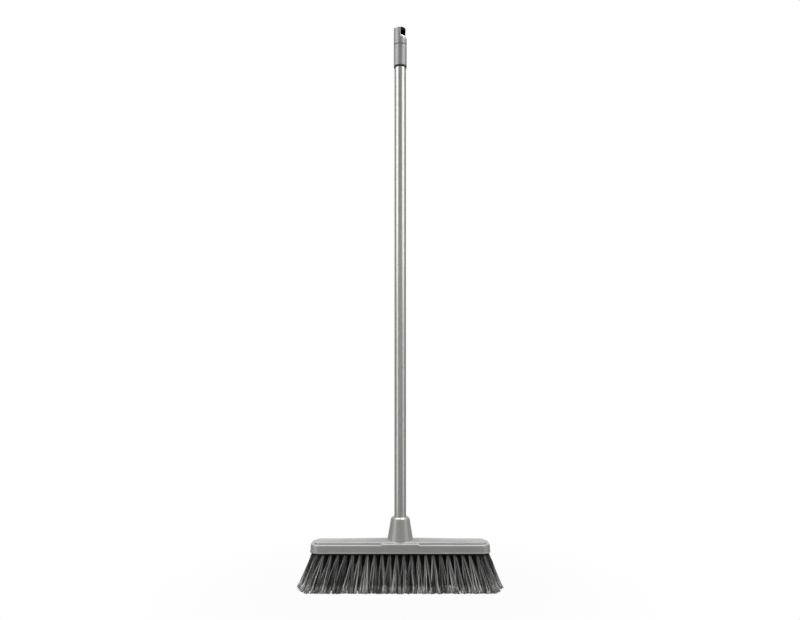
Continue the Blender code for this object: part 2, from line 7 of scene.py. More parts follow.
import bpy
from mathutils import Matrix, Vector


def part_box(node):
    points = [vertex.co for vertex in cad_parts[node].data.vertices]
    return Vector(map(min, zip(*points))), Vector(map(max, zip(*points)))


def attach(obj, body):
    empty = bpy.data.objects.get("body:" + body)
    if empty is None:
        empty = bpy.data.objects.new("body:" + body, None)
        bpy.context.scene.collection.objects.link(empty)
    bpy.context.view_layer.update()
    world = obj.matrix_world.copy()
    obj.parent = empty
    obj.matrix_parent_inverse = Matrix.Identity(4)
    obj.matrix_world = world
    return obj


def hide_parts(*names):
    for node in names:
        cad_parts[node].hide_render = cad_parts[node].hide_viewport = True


bl_info = {
    "name": "Soft Bristle Broom",
    "version": (1, 0, 0),
    "blender": (4, 5, 0),
    "location": "View3D > Sidebar > Broom",
    "description": "Builds the surfaces, finishes and studio of a soft bristle broom",
    "category": "Add Mesh",
}

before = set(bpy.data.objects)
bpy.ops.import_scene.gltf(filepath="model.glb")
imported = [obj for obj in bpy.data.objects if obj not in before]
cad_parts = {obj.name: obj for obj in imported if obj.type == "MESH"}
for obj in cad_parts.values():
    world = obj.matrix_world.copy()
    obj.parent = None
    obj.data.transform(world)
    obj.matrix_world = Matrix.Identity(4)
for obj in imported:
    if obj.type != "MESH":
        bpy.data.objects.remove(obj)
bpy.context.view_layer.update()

from math import floor, pi, radians, sqrt, tau

import bmesh
import bpy
import numpy as np
from bpy.props import FloatProperty, FloatVectorProperty, IntProperty, PointerProperty
from mathutils import Vector

TUBE_LOW, TUBE_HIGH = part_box("handle_tube")
GRIP_LOW, GRIP_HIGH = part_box("grip_sleeve")
RING_LOW, RING_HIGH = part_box("grip_ring")
CAP_LOW, CAP_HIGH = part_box("hanger_cap")
CORE_LOW, CORE_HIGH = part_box("hanger_core")
PLUG_LOW, PLUG_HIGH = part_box("tube_plug")
TIP_LOW, TIP_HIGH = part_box("threaded_tip")
COVER_LOW, COVER_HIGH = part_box("head_cover")
BLOCK_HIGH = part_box("bristle_block")[1]
STRIP_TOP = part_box("bristle_row_1")[1].z


# ---------------------------------------------------------------- settings


def length(name, description, default):
    return FloatProperty(name=name, description=description, default=default, min=0.0, precision=5, unit="LENGTH")


def turn(name, description, default):
    return FloatProperty(name=name, description=description, default=radians(default), subtype="ANGLE")


def share(name, description, default):
    return FloatProperty(name=name, description=description, default=default, min=0.0, max=1.0, subtype="FACTOR")


def plain(name, description, default, least=0.0):
    return FloatProperty(name=name, description=description, default=default, min=least)


def colour(name, description, default):
    return FloatVectorProperty(
        name=name, description=description, default=default, size=3, min=0.0, max=1.0, subtype="COLOR"
    )


class BroomHandleSettings(bpy.types.PropertyGroup):
    tube_wall: length("Tube wall", "Wall of the painted steel tube", 0.0004)
    fit_gap: length("Fit gap", "Clearance between pieces that touch", 0.0003)
    rim_wall: length("Rim wall", "Wall of the sleeve's rim round the hanger's foot", 0.0010)
    lid: length("Lid", "Thickness of the sleeve's lid over the tube's end", 0.0015)
    edge: length("Edge", "Round of the sleeve's upper edge", 0.0012)
    bead: length("Bead", "Round of the sleeve's lower edge", 0.0011)
    hanger_turn: turn("Hanger turn", "How far the hanger is turned from the front", 60.0)
    window_half: turn("Front window", "Half the angle of the wide window", 65.5)
    back_window_half: turn("Back window", "Half the angle of the narrow window", 28.0)
    window_sill: length("Window sill", "Height of the sill's inner edge over the core's foot", 0.0041)
    window_chamfer: length("Sill chamfer", "Fall of the sloping sill", 0.0046)
    sill_sweep: length("Sill sweep", "How far the sill rises from a window's middle, for a straight angle", 0.0038)
    window_slant: turn("Window slant", "How far the windows' sides slant either way", 8.5)
    top_skin: length("Top skin", "Thickness of the hanger over its core", 0.0008)
    foot_edge: length("Foot edge", "Round of the hanger's lower edge", 0.0022)
    seam: length("Seam", "Open seam between the hanger and the sleeve", 0.0008)
    top_edge: length("Top edge", "Round of the hanger's upper edge", 0.0018)
    eye_width: length("Eye width", "Width of the hanging eye", 0.0160)
    eye_height: length("Eye height", "Height of the hanging eye", 0.0130)
    eye_sill: length("Eye sill", "Height of the eye over the core's foot", 0.0034)
    pin_radius: length("Pin radius", "Radius of the pin that the hanger turns on", 0.0045)
    pin_head: length("Pin head", "Radius of the pin's snap head", 0.0056)
    snap_height: length("Snap height", "Height of the pin's snap head", 0.0031)
    flange: length("Flange", "Thickness of the upper plug's flange", 0.0015)
    stem_round: length("Stem round", "Round of the plugs' ends in the tube", 0.0010)


class BroomHeadSettings(bpy.types.PropertyGroup):
    fit_gap: length("Fit gap", "Clearance between pieces that touch", 0.0003)
    corner: length("Corner", "Radius of the head's corners, seen from above", 0.0200)
    skirt_wall: length("Skirt wall", "Wall of the cover's skirt", 0.0024)
    skirt_draft: length("Skirt draft", "How far the skirt leans in towards its top", 0.0015)
    lip: length("Lip", "Round of the skirt's lower lip", 0.0008)
    hem: length("Hem", "Height of the hem along the skirt's lower lip", 0.0018)
    hem_step: length("Hem step", "How far the hem stands out", 0.0007)
    top_wall: length("Top wall", "Thickness of the cover over the block", 0.0019)
    rim: length("Rim", "Round of the rim between skirt and top", 0.0020)
    shoulder_rise: length("Shoulder rise", "Rise of the ledge from the rim to the groove", 0.0003)
    groove_inset: length("Groove inset", "Distance from the skirt to the groove", 0.0084)
    groove_width: length("Groove width", "Width of the groove", 0.0016)
    groove_depth: length("Groove depth", "Depth of the groove", 0.0010)
    panel_rise: length("Panel rise", "Height of the panel's upright edge over the ledge", 0.0029)
    crown_rise: length("Crown rise", "Rise of the panel's dome at its middle", 0.0050)
    pad_half: length("Pad half length", "Half the raised pad round the socket", 0.0350)
    pad_run: length("Pad run", "Run of the slopes beside the pad", 0.0060)
    pad_rise: length("Pad rise", "Rise of the pad over the rim", 0.0020)
    socket_base: length("Socket base", "Radius of the cone at the pad", 0.0267)
    socket_top: length("Socket top", "Radius of the cone under its shoulder", 0.0189)
    socket_mouth: length("Socket mouth", "Radius of the flat land round the mouth", 0.0150)
    socket_shoulder: length("Socket shoulder", "Height of the rounded shoulder", 0.0036)
    flare_width: length("Flare width", "How far the cone's foot flares out", 0.0012)
    flare_height: length("Flare height", "Height of the flare", 0.0030)
    flare_foot: length("Flare foot", "Height of the flare's lower edge", 0.0006)


class BroomThreadSettings(bpy.types.PropertyGroup):
    pitch: length("Pitch", "Rise of the handle's thread in a turn", 0.0050)
    core: length("Core radius", "Radius of the nose under the thread", 0.0095)
    ridge: length("Ridge", "Radius of the thread's round ridge", 0.0012)
    clearance: length("Clearance", "Gap round the thread in the socket", 0.0004)
    chamfer: length("Nose chamfer", "Chamfer of the nose's end", 0.0020)
    start: length("Start", "Plain length before the ridge", 0.0025)
    run: length("Run", "Length that the ridge covers", 0.0175)
    fade: length("Fade", "Length over which the ridge rises and ends", 0.0030)
    room: length("Room", "Free depth under the nose", 0.0040)
    collar: length("Collar", "Thickness of the collar under the tube", 0.0012)


class BroomBristleSettings(bpy.types.PropertyGroup):
    rows: IntProperty(name="Rows", description="Rows of tufts", default=5, min=1)
    pitch: length("Tuft pitch", "Distance between two tufts of a row", 0.0144)
    strip: length("Strip", "Thickness of a row's slice of the plate", 0.0030)
    sunk: length("Sunk", "How far the filaments' upper ends stand in the plate", 0.0006)
    end_margin: length("End margin", "Bare end of each row", 0.0035)
    end_lean: length("End lean", "How far the end tufts lean out", 0.0332)
    lean_power: plain("Lean power", "How fast the lean grows towards the ends", 1.6)
    side_lean: length("Side lean", "How far the outer rows lean out", 0.0178)
    locks: IntProperty(name="Locks", description="Locks that a tuft parts into, one light, one dark", default=6, min=1)
    per_lock: IntProperty(name="Per lock", description="Filaments in a lock", default=24, min=1)
    cut: length("Cut length", "Length of a filament from the plate", 0.0850)
    outer_root: length("Outer root", "Radius of an outer row's tuft at the plate", 0.0013)
    inner_root: length("Inner root", "Radius of an inner row's tuft at the plate", 0.0040)
    fan: share("Fan", "Half a tuft's width at the floor, as a share of the tufts' distance there", 0.66)
    fan_depth: length("Fan depth", "Half a tuft's depth at the floor", 0.0030)
    bulge: plain("Bulge", "How early a tuft fans out: 1 is straight", 1.3, 1.0)
    gather: length("Gather", "How far a lock's filaments spread at the floor", 0.00055)
    thick: length("Thickness", "Radius of a filament", 0.00025)
    fine: length("Tip thickness", "Radius of a split tip", 0.00019)
    split: share("Split", "Share of a filament's length above its split", 0.80)
    reach: length("Outer reach", "Half the width of the bristles at the floor", 0.2084)
    corner_width: length("Corner width", "Length of each end over which the trim rises", 0.0180)
    corner_rise: length("Corner rise", "How far the trim rises at both ends", 0.0100)
    end_round: length("End round", "Radius of the brush's ends at the floor, seen from above", 0.0800)
    seed: IntProperty(name="Seed", description="Seed of the filaments' places", default=11)


class BroomFinishSettings(bpy.types.PropertyGroup):
    silver_plastic: colour("Silver plastic", "Moulded head", (0.315, 0.312, 0.303))
    grip_plastic: colour("Grip plastic", "Moulded sleeve and hanger, a little darker", (0.262, 0.264, 0.272))
    silver_paint: colour("Silver paint", "Painted tube", (0.430, 0.425, 0.410))
    black_plastic: colour("Black plastic", "Core, plugs and tuft plate", (0.006, 0.006, 0.0065))
    black_rubber: colour("Black rubber", "Ring under the sleeve", (0.012, 0.012, 0.012))
    # Also the colour of the painted shade between the inner rows and under the plate.
    bristle_black_and_shade: colour("Black bristle", "Darkest filaments", (0.010, 0.010, 0.010))
    bristle_grey: colour("Grey bristle", "Most filaments", (0.214, 0.213, 0.209))
    # Also the colour of the painted light that turns the brush's two ends pale.
    bristle_pale_and_backlight: colour("Pale bristle", "Split tips and the lightest filaments", (0.720, 0.712, 0.692))


class BroomStudioSettings(bpy.types.PropertyGroup):
    table: length("Table", "Radius of the round white table", 0.62)
    distance: length("Distance", "Camera in front of the handle", 1.5)
    height: length("Height", "Camera over the floor", 0.4212)
    tilt: turn("Tilt", "Camera's tilt upwards", 2.0)
    lens: plain("Lens", "Focal length in millimetres", 32.98)
    shift: plain("Shift", "Camera's upward shift", 0.0554, -1.0)
    side_shift: plain("Side shift", "Camera's shift to the right", -0.0003, -1.0)
    left_power: plain("Left strip", "Power of the left strip light", 19.8)
    right_power: plain("Right strip", "Power of the right strip light", 21.4)
    low_power: plain("Low strips", "Power of the two dimmer strips under them", 1.8)
    top_power: plain("Top light", "Power of the two overhead lights together", 64.0)
    front_power: plain("Front light", "Power of the front light", 3.0)
    fill: plain("Fill", "Level of the soft light from all round", 0.20)
    studio_grey: plain("Studio", "Level that gloss shows of the room", 0.12)


# ---------------------------------------------------------------- surfaces


def rounded(corners, closed=False, steps=5):
    """A profile with rounded corners. Each corner is (across, up, radius): an arc of that radius touches both
    straight sides there, and its points are the weighted sum of its two end spokes, sin((1 - s) a) and sin(s a)
    over sin(a), for the angle a between the spokes and s from 0 to 1. A point on each side just outside the arc
    keeps the smooth shading of the straight sides flat."""
    count = len(corners)
    parts = []
    for index, (across, up, radius) in enumerate(corners):
        here = np.array((across, up), float)
        if radius == 0.0 or (not closed and index in (0, count - 1)):
            parts.append(here[None])
            continue
        before = np.array(corners[index - 1][:2]) - here
        after = np.array(corners[(index + 1) % count][:2]) - here
        before, after = before / np.linalg.norm(before), after / np.linalg.norm(after)
        half = np.arccos(np.clip(before @ after, -1.0, 1.0)) / 2
        middle = (before + after) / np.linalg.norm(before + after)
        centre = here + middle * radius / np.sin(half)
        first = here + before * radius / np.tan(half) - centre
        last = here + after * radius / np.tan(half) - centre
        sweep = pi - 2 * half
        along = np.linspace(0.0, 1.0, steps + 1)[:, None]
        arc = (first * np.sin((1 - along) * sweep) + last * np.sin(along * sweep)) / np.sin(sweep)
        outside = 0.25 * radius
        parts.append(centre + np.concatenate([[first + before * outside], arc, [last + after * outside]]))
    return np.concatenate(parts)


def spaced(start, end, step):
    """Evenly spaced numbers from start to end, no further apart than step."""
    return np.linspace(start, end, int(abs(end - start) / step) + 2)


def paired(first, second):
    """Points (first, second), where either may be a single number."""
    return np.stack(np.broadcast_arrays(first, second), -1)


def spun(radius, azimuth, height):
    """Points round the Z axis: (radius cos a, radius sin a, height) for the azimuth a."""
    return np.stack(np.broadcast_arrays(radius * np.cos(azimuth), radius * np.sin(azimuth), height), -1)


def grid_faces(rows, columns, wrap_rows=False):
    """Four-sided faces of a grid of points numbered row by row. Its columns close round, and so do its rows if
    asked."""
    row, column = np.arange(rows if wrap_rows else rows - 1)[:, None], np.arange(columns)
    above, beside = (row + 1) % rows, (column + 1) % columns
    corners = row * columns + column, row * columns + beside, above * columns + beside, above * columns + column
    return np.stack(corners, -1).reshape(-1, 4)


def turned(profile, closed=False, steps=96, swell=0.0):
    """A turned form: each profile point (radius, height) runs once round the Z axis, and swell adds to the radius
    point by point. Points of no radius are welded into a pole afterwards."""
    points = spun(profile[:, :1] + swell, np.arange(steps) * tau / steps, profile[:, 1:])
    return points.reshape(-1, 3), grid_faces(len(profile), steps, wrap_rows=closed)


def walled(outer, inner, keep):
    """A wall between an outer and an inner grid of points that close round in their columns. Cells that aren't
    kept are openings, and a rim joins the two sides wherever a kept cell meets one that isn't."""
    rows, columns = outer.shape[:2]
    under = rows * columns
    number = np.arange(under).reshape(rows, columns)
    cells = grid_faces(rows, columns).reshape(rows - 1, columns, 4)[keep]
    bare = np.zeros((1, columns), bool)
    row, column = np.nonzero(np.vstack([keep, bare]) != np.vstack([bare, keep]))
    level = number[row, column], number[row, (column + 1) % columns]
    row, column = np.nonzero(keep != np.roll(keep, 1, axis=1))
    upright = number[row, column], number[row + 1, column]
    rims = [np.stack([first, second, second + under, first + under], -1) for first, second in (level, upright)]
    points = np.concatenate([outer.reshape(-1, 3), inner.reshape(-1, 3)])
    return points, np.concatenate([cells, cells + under, *rims])


def joined(*parts):
    """Several (points, faces) pairs as one pair."""
    faces, count = [], 0
    for points, polygons in parts:
        faces.append(polygons + count)
        count += len(points)
    return np.concatenate([points for points, _ in parts]), np.concatenate(faces)


def make_piece(name, form, body, finish, *nodes, bevel=0.0, smooth=38.0):
    """A piece from (points, faces): doubles and poles welded, faces turned outwards, sharp edges bevelled if asked,
    and shaded smooth up to an angle in degrees."""
    points, faces = form
    mesh = bpy.data.meshes.new(name)
    mesh.from_pydata(points, [], faces)
    shape = bmesh.new()
    shape.from_mesh(mesh)
    bmesh.ops.remove_doubles(shape, verts=shape.verts, dist=1e-6)
    bmesh.ops.dissolve_degenerate(shape, edges=shape.edges, dist=1e-7)
    loose = [vertex for vertex in shape.verts if not vertex.link_faces]
    bmesh.ops.delete(shape, geom=loose, context="VERTS")
    bmesh.ops.recalc_face_normals(shape, faces=shape.faces)
    if bevel:
        sharp = [edge for edge in shape.edges if edge.is_manifold and edge.calc_face_angle(0.0) > radians(smooth)]
        bmesh.ops.bevel(shape, geom=sharp, offset=bevel, segments=3, profile=0.5, affect="EDGES", clamp_overlap=True)
    shape.to_mesh(mesh)
    shape.free()
    mesh.shade_smooth()
    mesh.set_sharp_from_angle(angle=radians(smooth))
    place_piece(name, mesh, body, finish, *nodes)


def place_piece(name, mesh, body, finish, *nodes):
    """An object of a mesh, with its finish and that finish's slot, riding on its body in place of its CAD nodes."""
    thing = bpy.data.objects.new(name, mesh)
    bpy.context.scene.collection.objects.link(thing)
    mesh.materials.append(finish_named(finish))
    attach(thing, body)
    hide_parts(*nodes)


# ---------------------------------------------------------------- head


# Distances between the points along the head's sides, on the pad's slopes and across the panel, and between the
# rings of the socket's and the nose's thread.
SIDE_STEP, SLOPE_STEP, PANEL_STEP = 0.004, 0.0007, 0.0025
BORE_STEP, NOSE_STEP = 0.00035, 0.0003
# Rounds of edges that are just broken, of slightly softer ones, and of the groove's corners.
BROKEN, EASED, SOFT, GROOVED = 0.0001, 0.0002, 0.0003, 0.0004
# Section of the collar round a tuft: radius, and height over the plate's underside.
COLLAR = np.array([(0.0023, 0.0010), (0.0023, -0.0004), (0.0026, -0.0007), (0.0030, -0.0005), (0.0033, 0.0010)])
COLLAR_STEPS = 14


def cover_ceiling(head):
    """Height of the cover's ceiling, just over the plate."""
    return BLOCK_HIGH.z + head.fit_gap


def plate_inset(head):
    """Distance from the head's outline in to the plate's."""
    return head.skirt_wall + head.skirt_draft + head.fit_gap


def outline(inset, head, places):
    """The head's rounded rectangle drawn in by an inset: straight sides at the given places along X, and corner
    arcs centre + radius (cos a, sin a). Past the corner radius the corners are sharp."""
    half_length, half_depth = COVER_HIGH.x - inset, COVER_HIGH.y - inset
    radius = max(head.corner - inset, 0.0)
    run, rise = half_length - radius, half_depth - radius
    side = places * np.where(np.abs(places) > head.pad_half + head.pad_run, run / places.max(), 1.0)
    arc = np.linspace(-pi / 2, 0.0, 17)[1:]
    near = paired(run + radius * np.cos(arc), radius * np.sin(arc) - rise)
    far = (near * (1, -1))[-2::-1]
    half = np.concatenate([paired(side, -half_depth), near, far])
    return np.concatenate([half, -half])


def level_ring(inset, height, head, places):
    """The head's outline at one height."""
    flat = outline(inset, head, places)
    return np.concatenate([flat, np.full((len(flat), 1), height)], -1)


def side_places(head):
    """X along the straight sides: close together on the pad's slopes, and evenly spaced elsewhere."""
    foot = head.pad_half + head.pad_run
    outer = spaced(foot, COVER_HIGH.x - head.corner, SIDE_STEP)
    slope = spaced(head.pad_half, foot, SLOPE_STEP)[:-1]
    pad = spaced(0.0, head.pad_half, SIDE_STEP)[:-1]
    half = np.concatenate([pad, slope, outer])
    return np.concatenate([-half[:0:-1], half])


def pad_share(across, head):
    """1 on the pad, 0 beyond its slopes, s s (3 - 2 s) between."""
    s = np.clip((head.pad_half + head.pad_run - np.abs(across)) / head.pad_run, 0.0, 1.0)
    return s * s * (3 - 2 * s)


def cover_profile(head):
    """The cover's cross-section as (inset, height) points, from the lip up the skirt, over the rim, across the
    ledge and its groove, up the panel's edge and on to the middle line. The height of the rim's top and the inset of
    the groove's end come with it."""
    rim_top = cover_ceiling(head) + head.top_wall
    shoulder = rim_top + head.shoulder_rise
    panel_edge = shoulder + head.panel_rise
    groove_end = head.groove_inset + head.groove_width
    lip, middle = COVER_LOW.z, COVER_HIGH.y
    skirt = rounded(
        [
            (head.skirt_wall + head.skirt_draft, lip, 0.0),
            (0.0, lip, head.lip),
            (0.0, lip + head.hem, SOFT),
            (head.hem_step, lip + head.hem + head.hem_step, SOFT),
            (head.skirt_draft, rim_top, head.rim),
            (head.groove_inset, shoulder, GROOVED),
            (head.groove_inset + head.groove_width / 2, shoulder - head.groove_depth, GROOVED),
            (groove_end, panel_edge, 0.0006),
            (middle, panel_edge, 0.0),
        ],
        steps=6,
    )
    crown = paired(spaced(skirt[-2, 0], middle, PANEL_STEP)[1:-1], panel_edge)
    return np.concatenate([skirt[:-1], crown, skirt[-1:]]), rim_top, groove_end


def cover_form(head):
    """The cover: its cross-section runs round the head's outline. Over the pad each ring is lifted: below the rim
    by the pad's rise times its height share, and from the rim inwards up to the pad's level. The panel inside the
    groove is domed by rise (1 - (1 - s)^2) (1 - (x / half length)^2), with s from 0 at its edge to 1 on the middle
    line."""
    profile, rim_top, groove_end = cover_profile(head)
    places = side_places(head)
    rings = np.stack([outline(inset, head, places) for inset in profile[:, 0]])
    across = rings[..., 0]
    inset, height = profile[:, :1], profile[:, 1:]
    within = np.clip((inset - groove_end) / (COVER_HIGH.y - groove_end), 0.0, 1.0)
    crown = head.crown_rise * (1 - (1 - within) ** 2)
    level = height + crown * (1 - (across / COVER_HIGH.x) ** 2)
    lip_top = COVER_LOW.z + head.lip
    climb = np.clip((height - lip_top) / (rim_top - head.rim - lip_top), 0.0, 1.0)
    on_skirt = inset <= head.skirt_draft + head.rim * 0.7
    raised = np.where(on_skirt, level + head.pad_rise * climb, np.maximum(rim_top + head.pad_rise, level))
    level = level + (raised - level) * pad_share(across, head)
    outside = np.concatenate([rings, level[..., None]], -1)
    insets = (COVER_HIGH.y, head.skirt_wall + head.skirt_draft)
    inside = np.stack([level_ring(inset, cover_ceiling(head), head, places) for inset in insets])
    points = np.concatenate([inside, outside])
    return points.reshape(-1, 3), grid_faces(*points.shape[:2])


def ridge_height(azimuth, height, thread, radius):
    """Height of a round thread over its core: the root of radius^2 - d^2, where d is the distance along Z from
    the helix azimuth / tau = (height - start) / pitch, and nothing beyond the radius."""
    phase = (height - TIP_LOW.z) / thread.pitch - azimuth / tau
    away = (phase - np.round(phase)) * thread.pitch
    return np.sqrt(np.clip(radius**2 - away**2, 0.0, None))


def socket_form(head, thread, steps=120):
    """The socket: a turned cone with a rounded shoulder, a flared foot, the tube's seat and the threaded bore,
    whose radius swells by the thread's groove."""
    pad_top = cover_ceiling(head) + head.top_wall + head.pad_rise
    sunk = pad_top - 0.0015
    top = COVER_HIGH.z
    shoulder = top - head.socket_shoulder
    slope = (head.socket_base - head.socket_top) / (shoulder - pad_top)
    foot = head.socket_base + head.flare_width
    seat = TUBE_HIGH.x + head.fit_gap
    seat_floor = TUBE_LOW.z - thread.collar - 2 * head.fit_gap
    bore = thread.core + thread.clearance
    bore_floor = TIP_LOW.z - thread.room
    outside = rounded(
        [
            (0.0, sunk, 0.0),
            (foot, sunk, 0.0),
            (foot, pad_top + head.flare_foot, 0.0004),
            (head.socket_base - slope * head.flare_height, pad_top + head.flare_height, 0.0040),
            (head.socket_top, shoulder + 0.0004, 0.0026),
            (head.socket_mouth, top, 0.0016),
            (seat, top, 0.0005),
            (seat, seat_floor, SOFT),
            (bore, seat_floor, 0.0),
        ],
        steps=7,
    )
    inside = paired(bore, spaced(seat_floor, bore_floor, BORE_STEP))
    profile = np.concatenate([outside[:-1], inside, [(0.0, bore_floor)]])
    azimuth, height = np.arange(steps) * tau / steps, profile[:, 1:]
    groove = ridge_height(azimuth, height, thread, thread.ridge + thread.clearance)
    groove = np.clip(thread.core + groove - bore, 0.0, None) * (profile[:, :1] == bore)
    groove = groove * np.clip((height - TIP_LOW.z - thread.start + thread.clearance) / 0.001, 0.0, 1.0)
    return turned(profile, steps=steps, swell=groove)


def plate_form(head, bristle):
    """The black plate that holds the tufts: a slab of the head's outline, with a low rounded collar, a ring
    profile run round a circle, at every tuft."""
    inset, top, underside = plate_inset(head), BLOCK_HIGH.z, STRIP_TOP - bristle.strip
    places = side_places(head)
    section = ((COVER_HIGH.y, top), (inset, top), (inset, underside), (COVER_HIGH.y, underside))
    slab = np.stack([level_ring(across, height, head, places) for across, height in section])
    slab = slab.reshape(-1, 3), grid_faces(*slab.shape[:2])
    roots = np.concatenate([paired(*tuft_roots(row, head, bristle)) for row in range(bristle.rows)])
    azimuth = np.arange(COLLAR_STEPS) * tau / COLLAR_STEPS
    circle = spun(COLLAR[:, :1], azimuth, COLLAR[:, 1:] + underside).reshape(-1, 3)
    collars = (np.pad(roots, ((0, 0), (0, 1)))[:, None] + circle).reshape(-1, 3)
    faces = grid_faces(len(COLLAR), COLLAR_STEPS, wrap_rows=True)
    faces = (np.arange(len(roots))[:, None, None] * len(circle) + faces).reshape(-1, 4)
    return joined(slab, (collars, faces))


# ---------------------------------------------------------------- bristles


TUFT_HALF = 0.0021  # half a tuft's depth in the plate
# A filament's points, as shares of its length down to its split, with how much of its lock's wave and of its own
# fraying reaches each point, its tip included.
STATIONS = (0.0, 0.14, 0.3, 0.5)
WAVE_REACH, WAVE = np.array([0.0, 0.5, 1.0, 1.3, 1.4, 1.4]), 0.0004
FRAY_REACH, FRAY = np.array([0.0, 0.5, 1.0, 1.3, 1.6, 7.0]), 0.00014
LOCK_JITTER = 0.4  # how unevenly locks stand, as a share of their distance
ROOT_ORDER, ROOT_JITTER = 0.6, 0.3  # how far a root follows its lock's place, and how far it strays, in root radii
OVERHANG, HELD_BACK = 0.005, 0.7  # the share by which tips are held back from this far inside the outer reach
CUT_JITTER = 0.0007
SHORT_SHARE, SHORT_MOST = 0.03, 0.0018  # filaments that end above the trim, and by how much at most
TIP_GAP, TIP_JITTER = 0.0001, 0.00015  # the tips' heights over the floor
# Tones from black 0 to pale 1: of light locks, of dark locks, and of the two kinds of stray filaments.
LIGHT_TONES, DARK_TONES, BLACK_STRAY, PALE_STRAY = (0.44, 0.88), (0.02, 0.18), 0.03, 0.9
# The split hairs: how far their tips stray, and how far up they end.
HAIR_SPREAD, HAIR_RISE, HAIR_RADII = 0.0011, 0.0004, np.array([1.2, 1.1, 0.8])


def plate_reach(depth, head):
    """Half the plate's length at a distance from its middle line: its corners are quarter circles."""
    inset = plate_inset(head)
    radius = head.corner - inset
    past = abs(depth) - (COVER_HIGH.y - inset - radius)
    half = COVER_HIGH.x - inset
    return half if past <= 0 else half - radius + sqrt(max(radius**2 - past**2, 0.0))


def row_depth(row, head, bristle):
    """Y of a row's middle: the plate's depth in equal strips with a fit gap between them."""
    depth = 2 * (COVER_HIGH.y - plate_inset(head))
    strip = (depth - (bristle.rows - 1) * head.fit_gap) / bristle.rows
    return -depth / 2 + row * (strip + head.fit_gap) + strip / 2


def tuft_roots(row, head, bristle):
    """X and Y of each tuft of a row. Every other row is set half a pitch along."""
    depth = row_depth(row, head, bristle)
    pitches = (plate_reach(abs(depth) + TUFT_HALF, head) - bristle.end_margin) / bristle.pitch
    count = 2 * floor(pitches) + 1 if row % 2 else 2 * floor(pitches + 1 / 2)
    x = (np.arange(count) - (count - 1) / 2) * bristle.pitch
    return x, np.full_like(x, depth)


def filament_paths(row, head, bristle):
    """Centre lines of a row's filaments, as an array (filament, point, xyz), with their shares of the length and
    the random numbers that go on to their tones.

    A tuft parts into locks that end side by side at the floor. A filament leaves the plate on its lock's side of
    the tuft's root. At the share s of its length it has moved s of the way to the tuft's leaning tip, and
    1 - (1 - s)^bulge of the way out to its lock's place in the fan. It drops by the root of cut^2 - run^2, or to
    the floor, where the whole brush is trimmed. At both ends the trim rises in a quarter of an ellipse."""
    chance = np.random.default_rng(bristle.seed + 101 * row)
    x, y = tuft_roots(row, head, bristle)
    outer = row in (0, bristle.rows - 1)
    count, locks, each = len(x), bristle.locks, bristle.per_lock
    out = np.abs(x) / COVER_HIGH.x
    lean = bristle.end_lean * out**bristle.lean_power * np.sign(x)
    apart = bristle.pitch * (1 + bristle.end_lean / COVER_HIGH.x * bristle.lean_power * out ** (bristle.lean_power - 1))
    side = bristle.side_lean * y / row_depth(bristle.rows - 1, head, bristle)
    beside = (np.arange(locks) + 0.5) / locks * 2 - 1 + chance.normal(0.0, LOCK_JITTER / locks, (count, locks))
    deep = chance.uniform(-1.0, 1.0, (count, locks))
    fan = paired(beside * apart[:, None] * bristle.fan, deep * bristle.fan_depth).reshape(-1, 1, 2)
    fan = fan + chance.normal(0.0, bristle.gather, (count * locks, each, 2))
    hole = paired(beside, deep).reshape(-1, 1, 2) * ROOT_ORDER + chance.normal(0.0, ROOT_JITTER, fan.shape)
    hole = hole / np.maximum(np.linalg.norm(hole, axis=-1, keepdims=True), 1.0)
    root = paired(x, y).repeat(locks * each, axis=0)
    root = root + hole.reshape(-1, 2) * (bristle.outer_root if outer else bristle.inner_root)
    aim = paired(x + lean, y + side).repeat(locks * each, axis=0)
    fan = fan.reshape(-1, 2)
    tip = aim[:, 0] + fan[:, 0]
    reach = bristle.reach - aim[:, 1] ** 2 / (2 * bristle.end_round)
    beyond = np.clip(np.abs(tip) - (reach - OVERHANG), 0.0, None)
    fan[:, 0] -= np.sign(tip) * beyond * HELD_BACK
    top = STRIP_TOP - bristle.strip + bristle.sunk
    run = np.hypot(*(aim + fan - root).T)
    cut = bristle.cut - np.abs(chance.normal(0.0, CUT_JITTER, len(root)))
    drop = np.sqrt(np.clip(cut**2 - run**2, 0.0, None))
    short = np.where(chance.random(len(root)) < SHORT_SHARE, chance.uniform(0.0, SHORT_MOST, len(root)), 0.0)
    past = np.clip((np.abs(aim[:, 0] + fan[:, 0]) - reach) / bristle.corner_width + 1.0, 0.0, 1.0)
    rise = bristle.corner_rise * (1.0 - np.sqrt(1.0 - past**2))
    low = np.maximum(top - drop, TIP_GAP + np.abs(chance.normal(0.0, TIP_JITTER, len(root))) + short + rise)
    along = np.array([*STATIONS, bristle.split, 1.0])
    spread = (1 - (1 - along) ** bristle.bulge)[:, None]
    flat = root[:, None] + (aim - root)[:, None] * along[:, None] + fan[:, None] * spread
    wave = np.repeat(chance.normal(0.0, WAVE, (count * locks, len(along), 2)), each, axis=0)
    wave = wave * WAVE_REACH[:, None] + chance.normal(0.0, FRAY, flat.shape) * FRAY_REACH[:, None]
    height = top + (low - top)[:, None] * along
    return np.concatenate([flat + wave, height[..., None]], -1), along, chance


def filament_tones(count, outer, bristle, chance):
    """How light each filament is towards its tip, 0 to 1. A tuft's locks are light and dark in turn, one in six the
    other way round, and its filaments differ a little. The rows between the outer two are darker."""
    locks = count // bristle.per_lock
    light = (np.arange(locks) % 2 == 0) ^ (chance.random(locks) < 0.16)
    tone = np.where(light, chance.uniform(*LIGHT_TONES, locks), chance.uniform(*DARK_TONES, locks))
    tone = np.repeat(tone, bristle.per_lock) + chance.normal(0.0, 0.07, count)
    odd = chance.random(count)
    tone = np.where(odd < 0.08, BLACK_STRAY, np.where(odd > 0.95, PALE_STRAY, tone))
    return np.clip(tone if outer else 0.8 * tone, 0.0, 1.0)


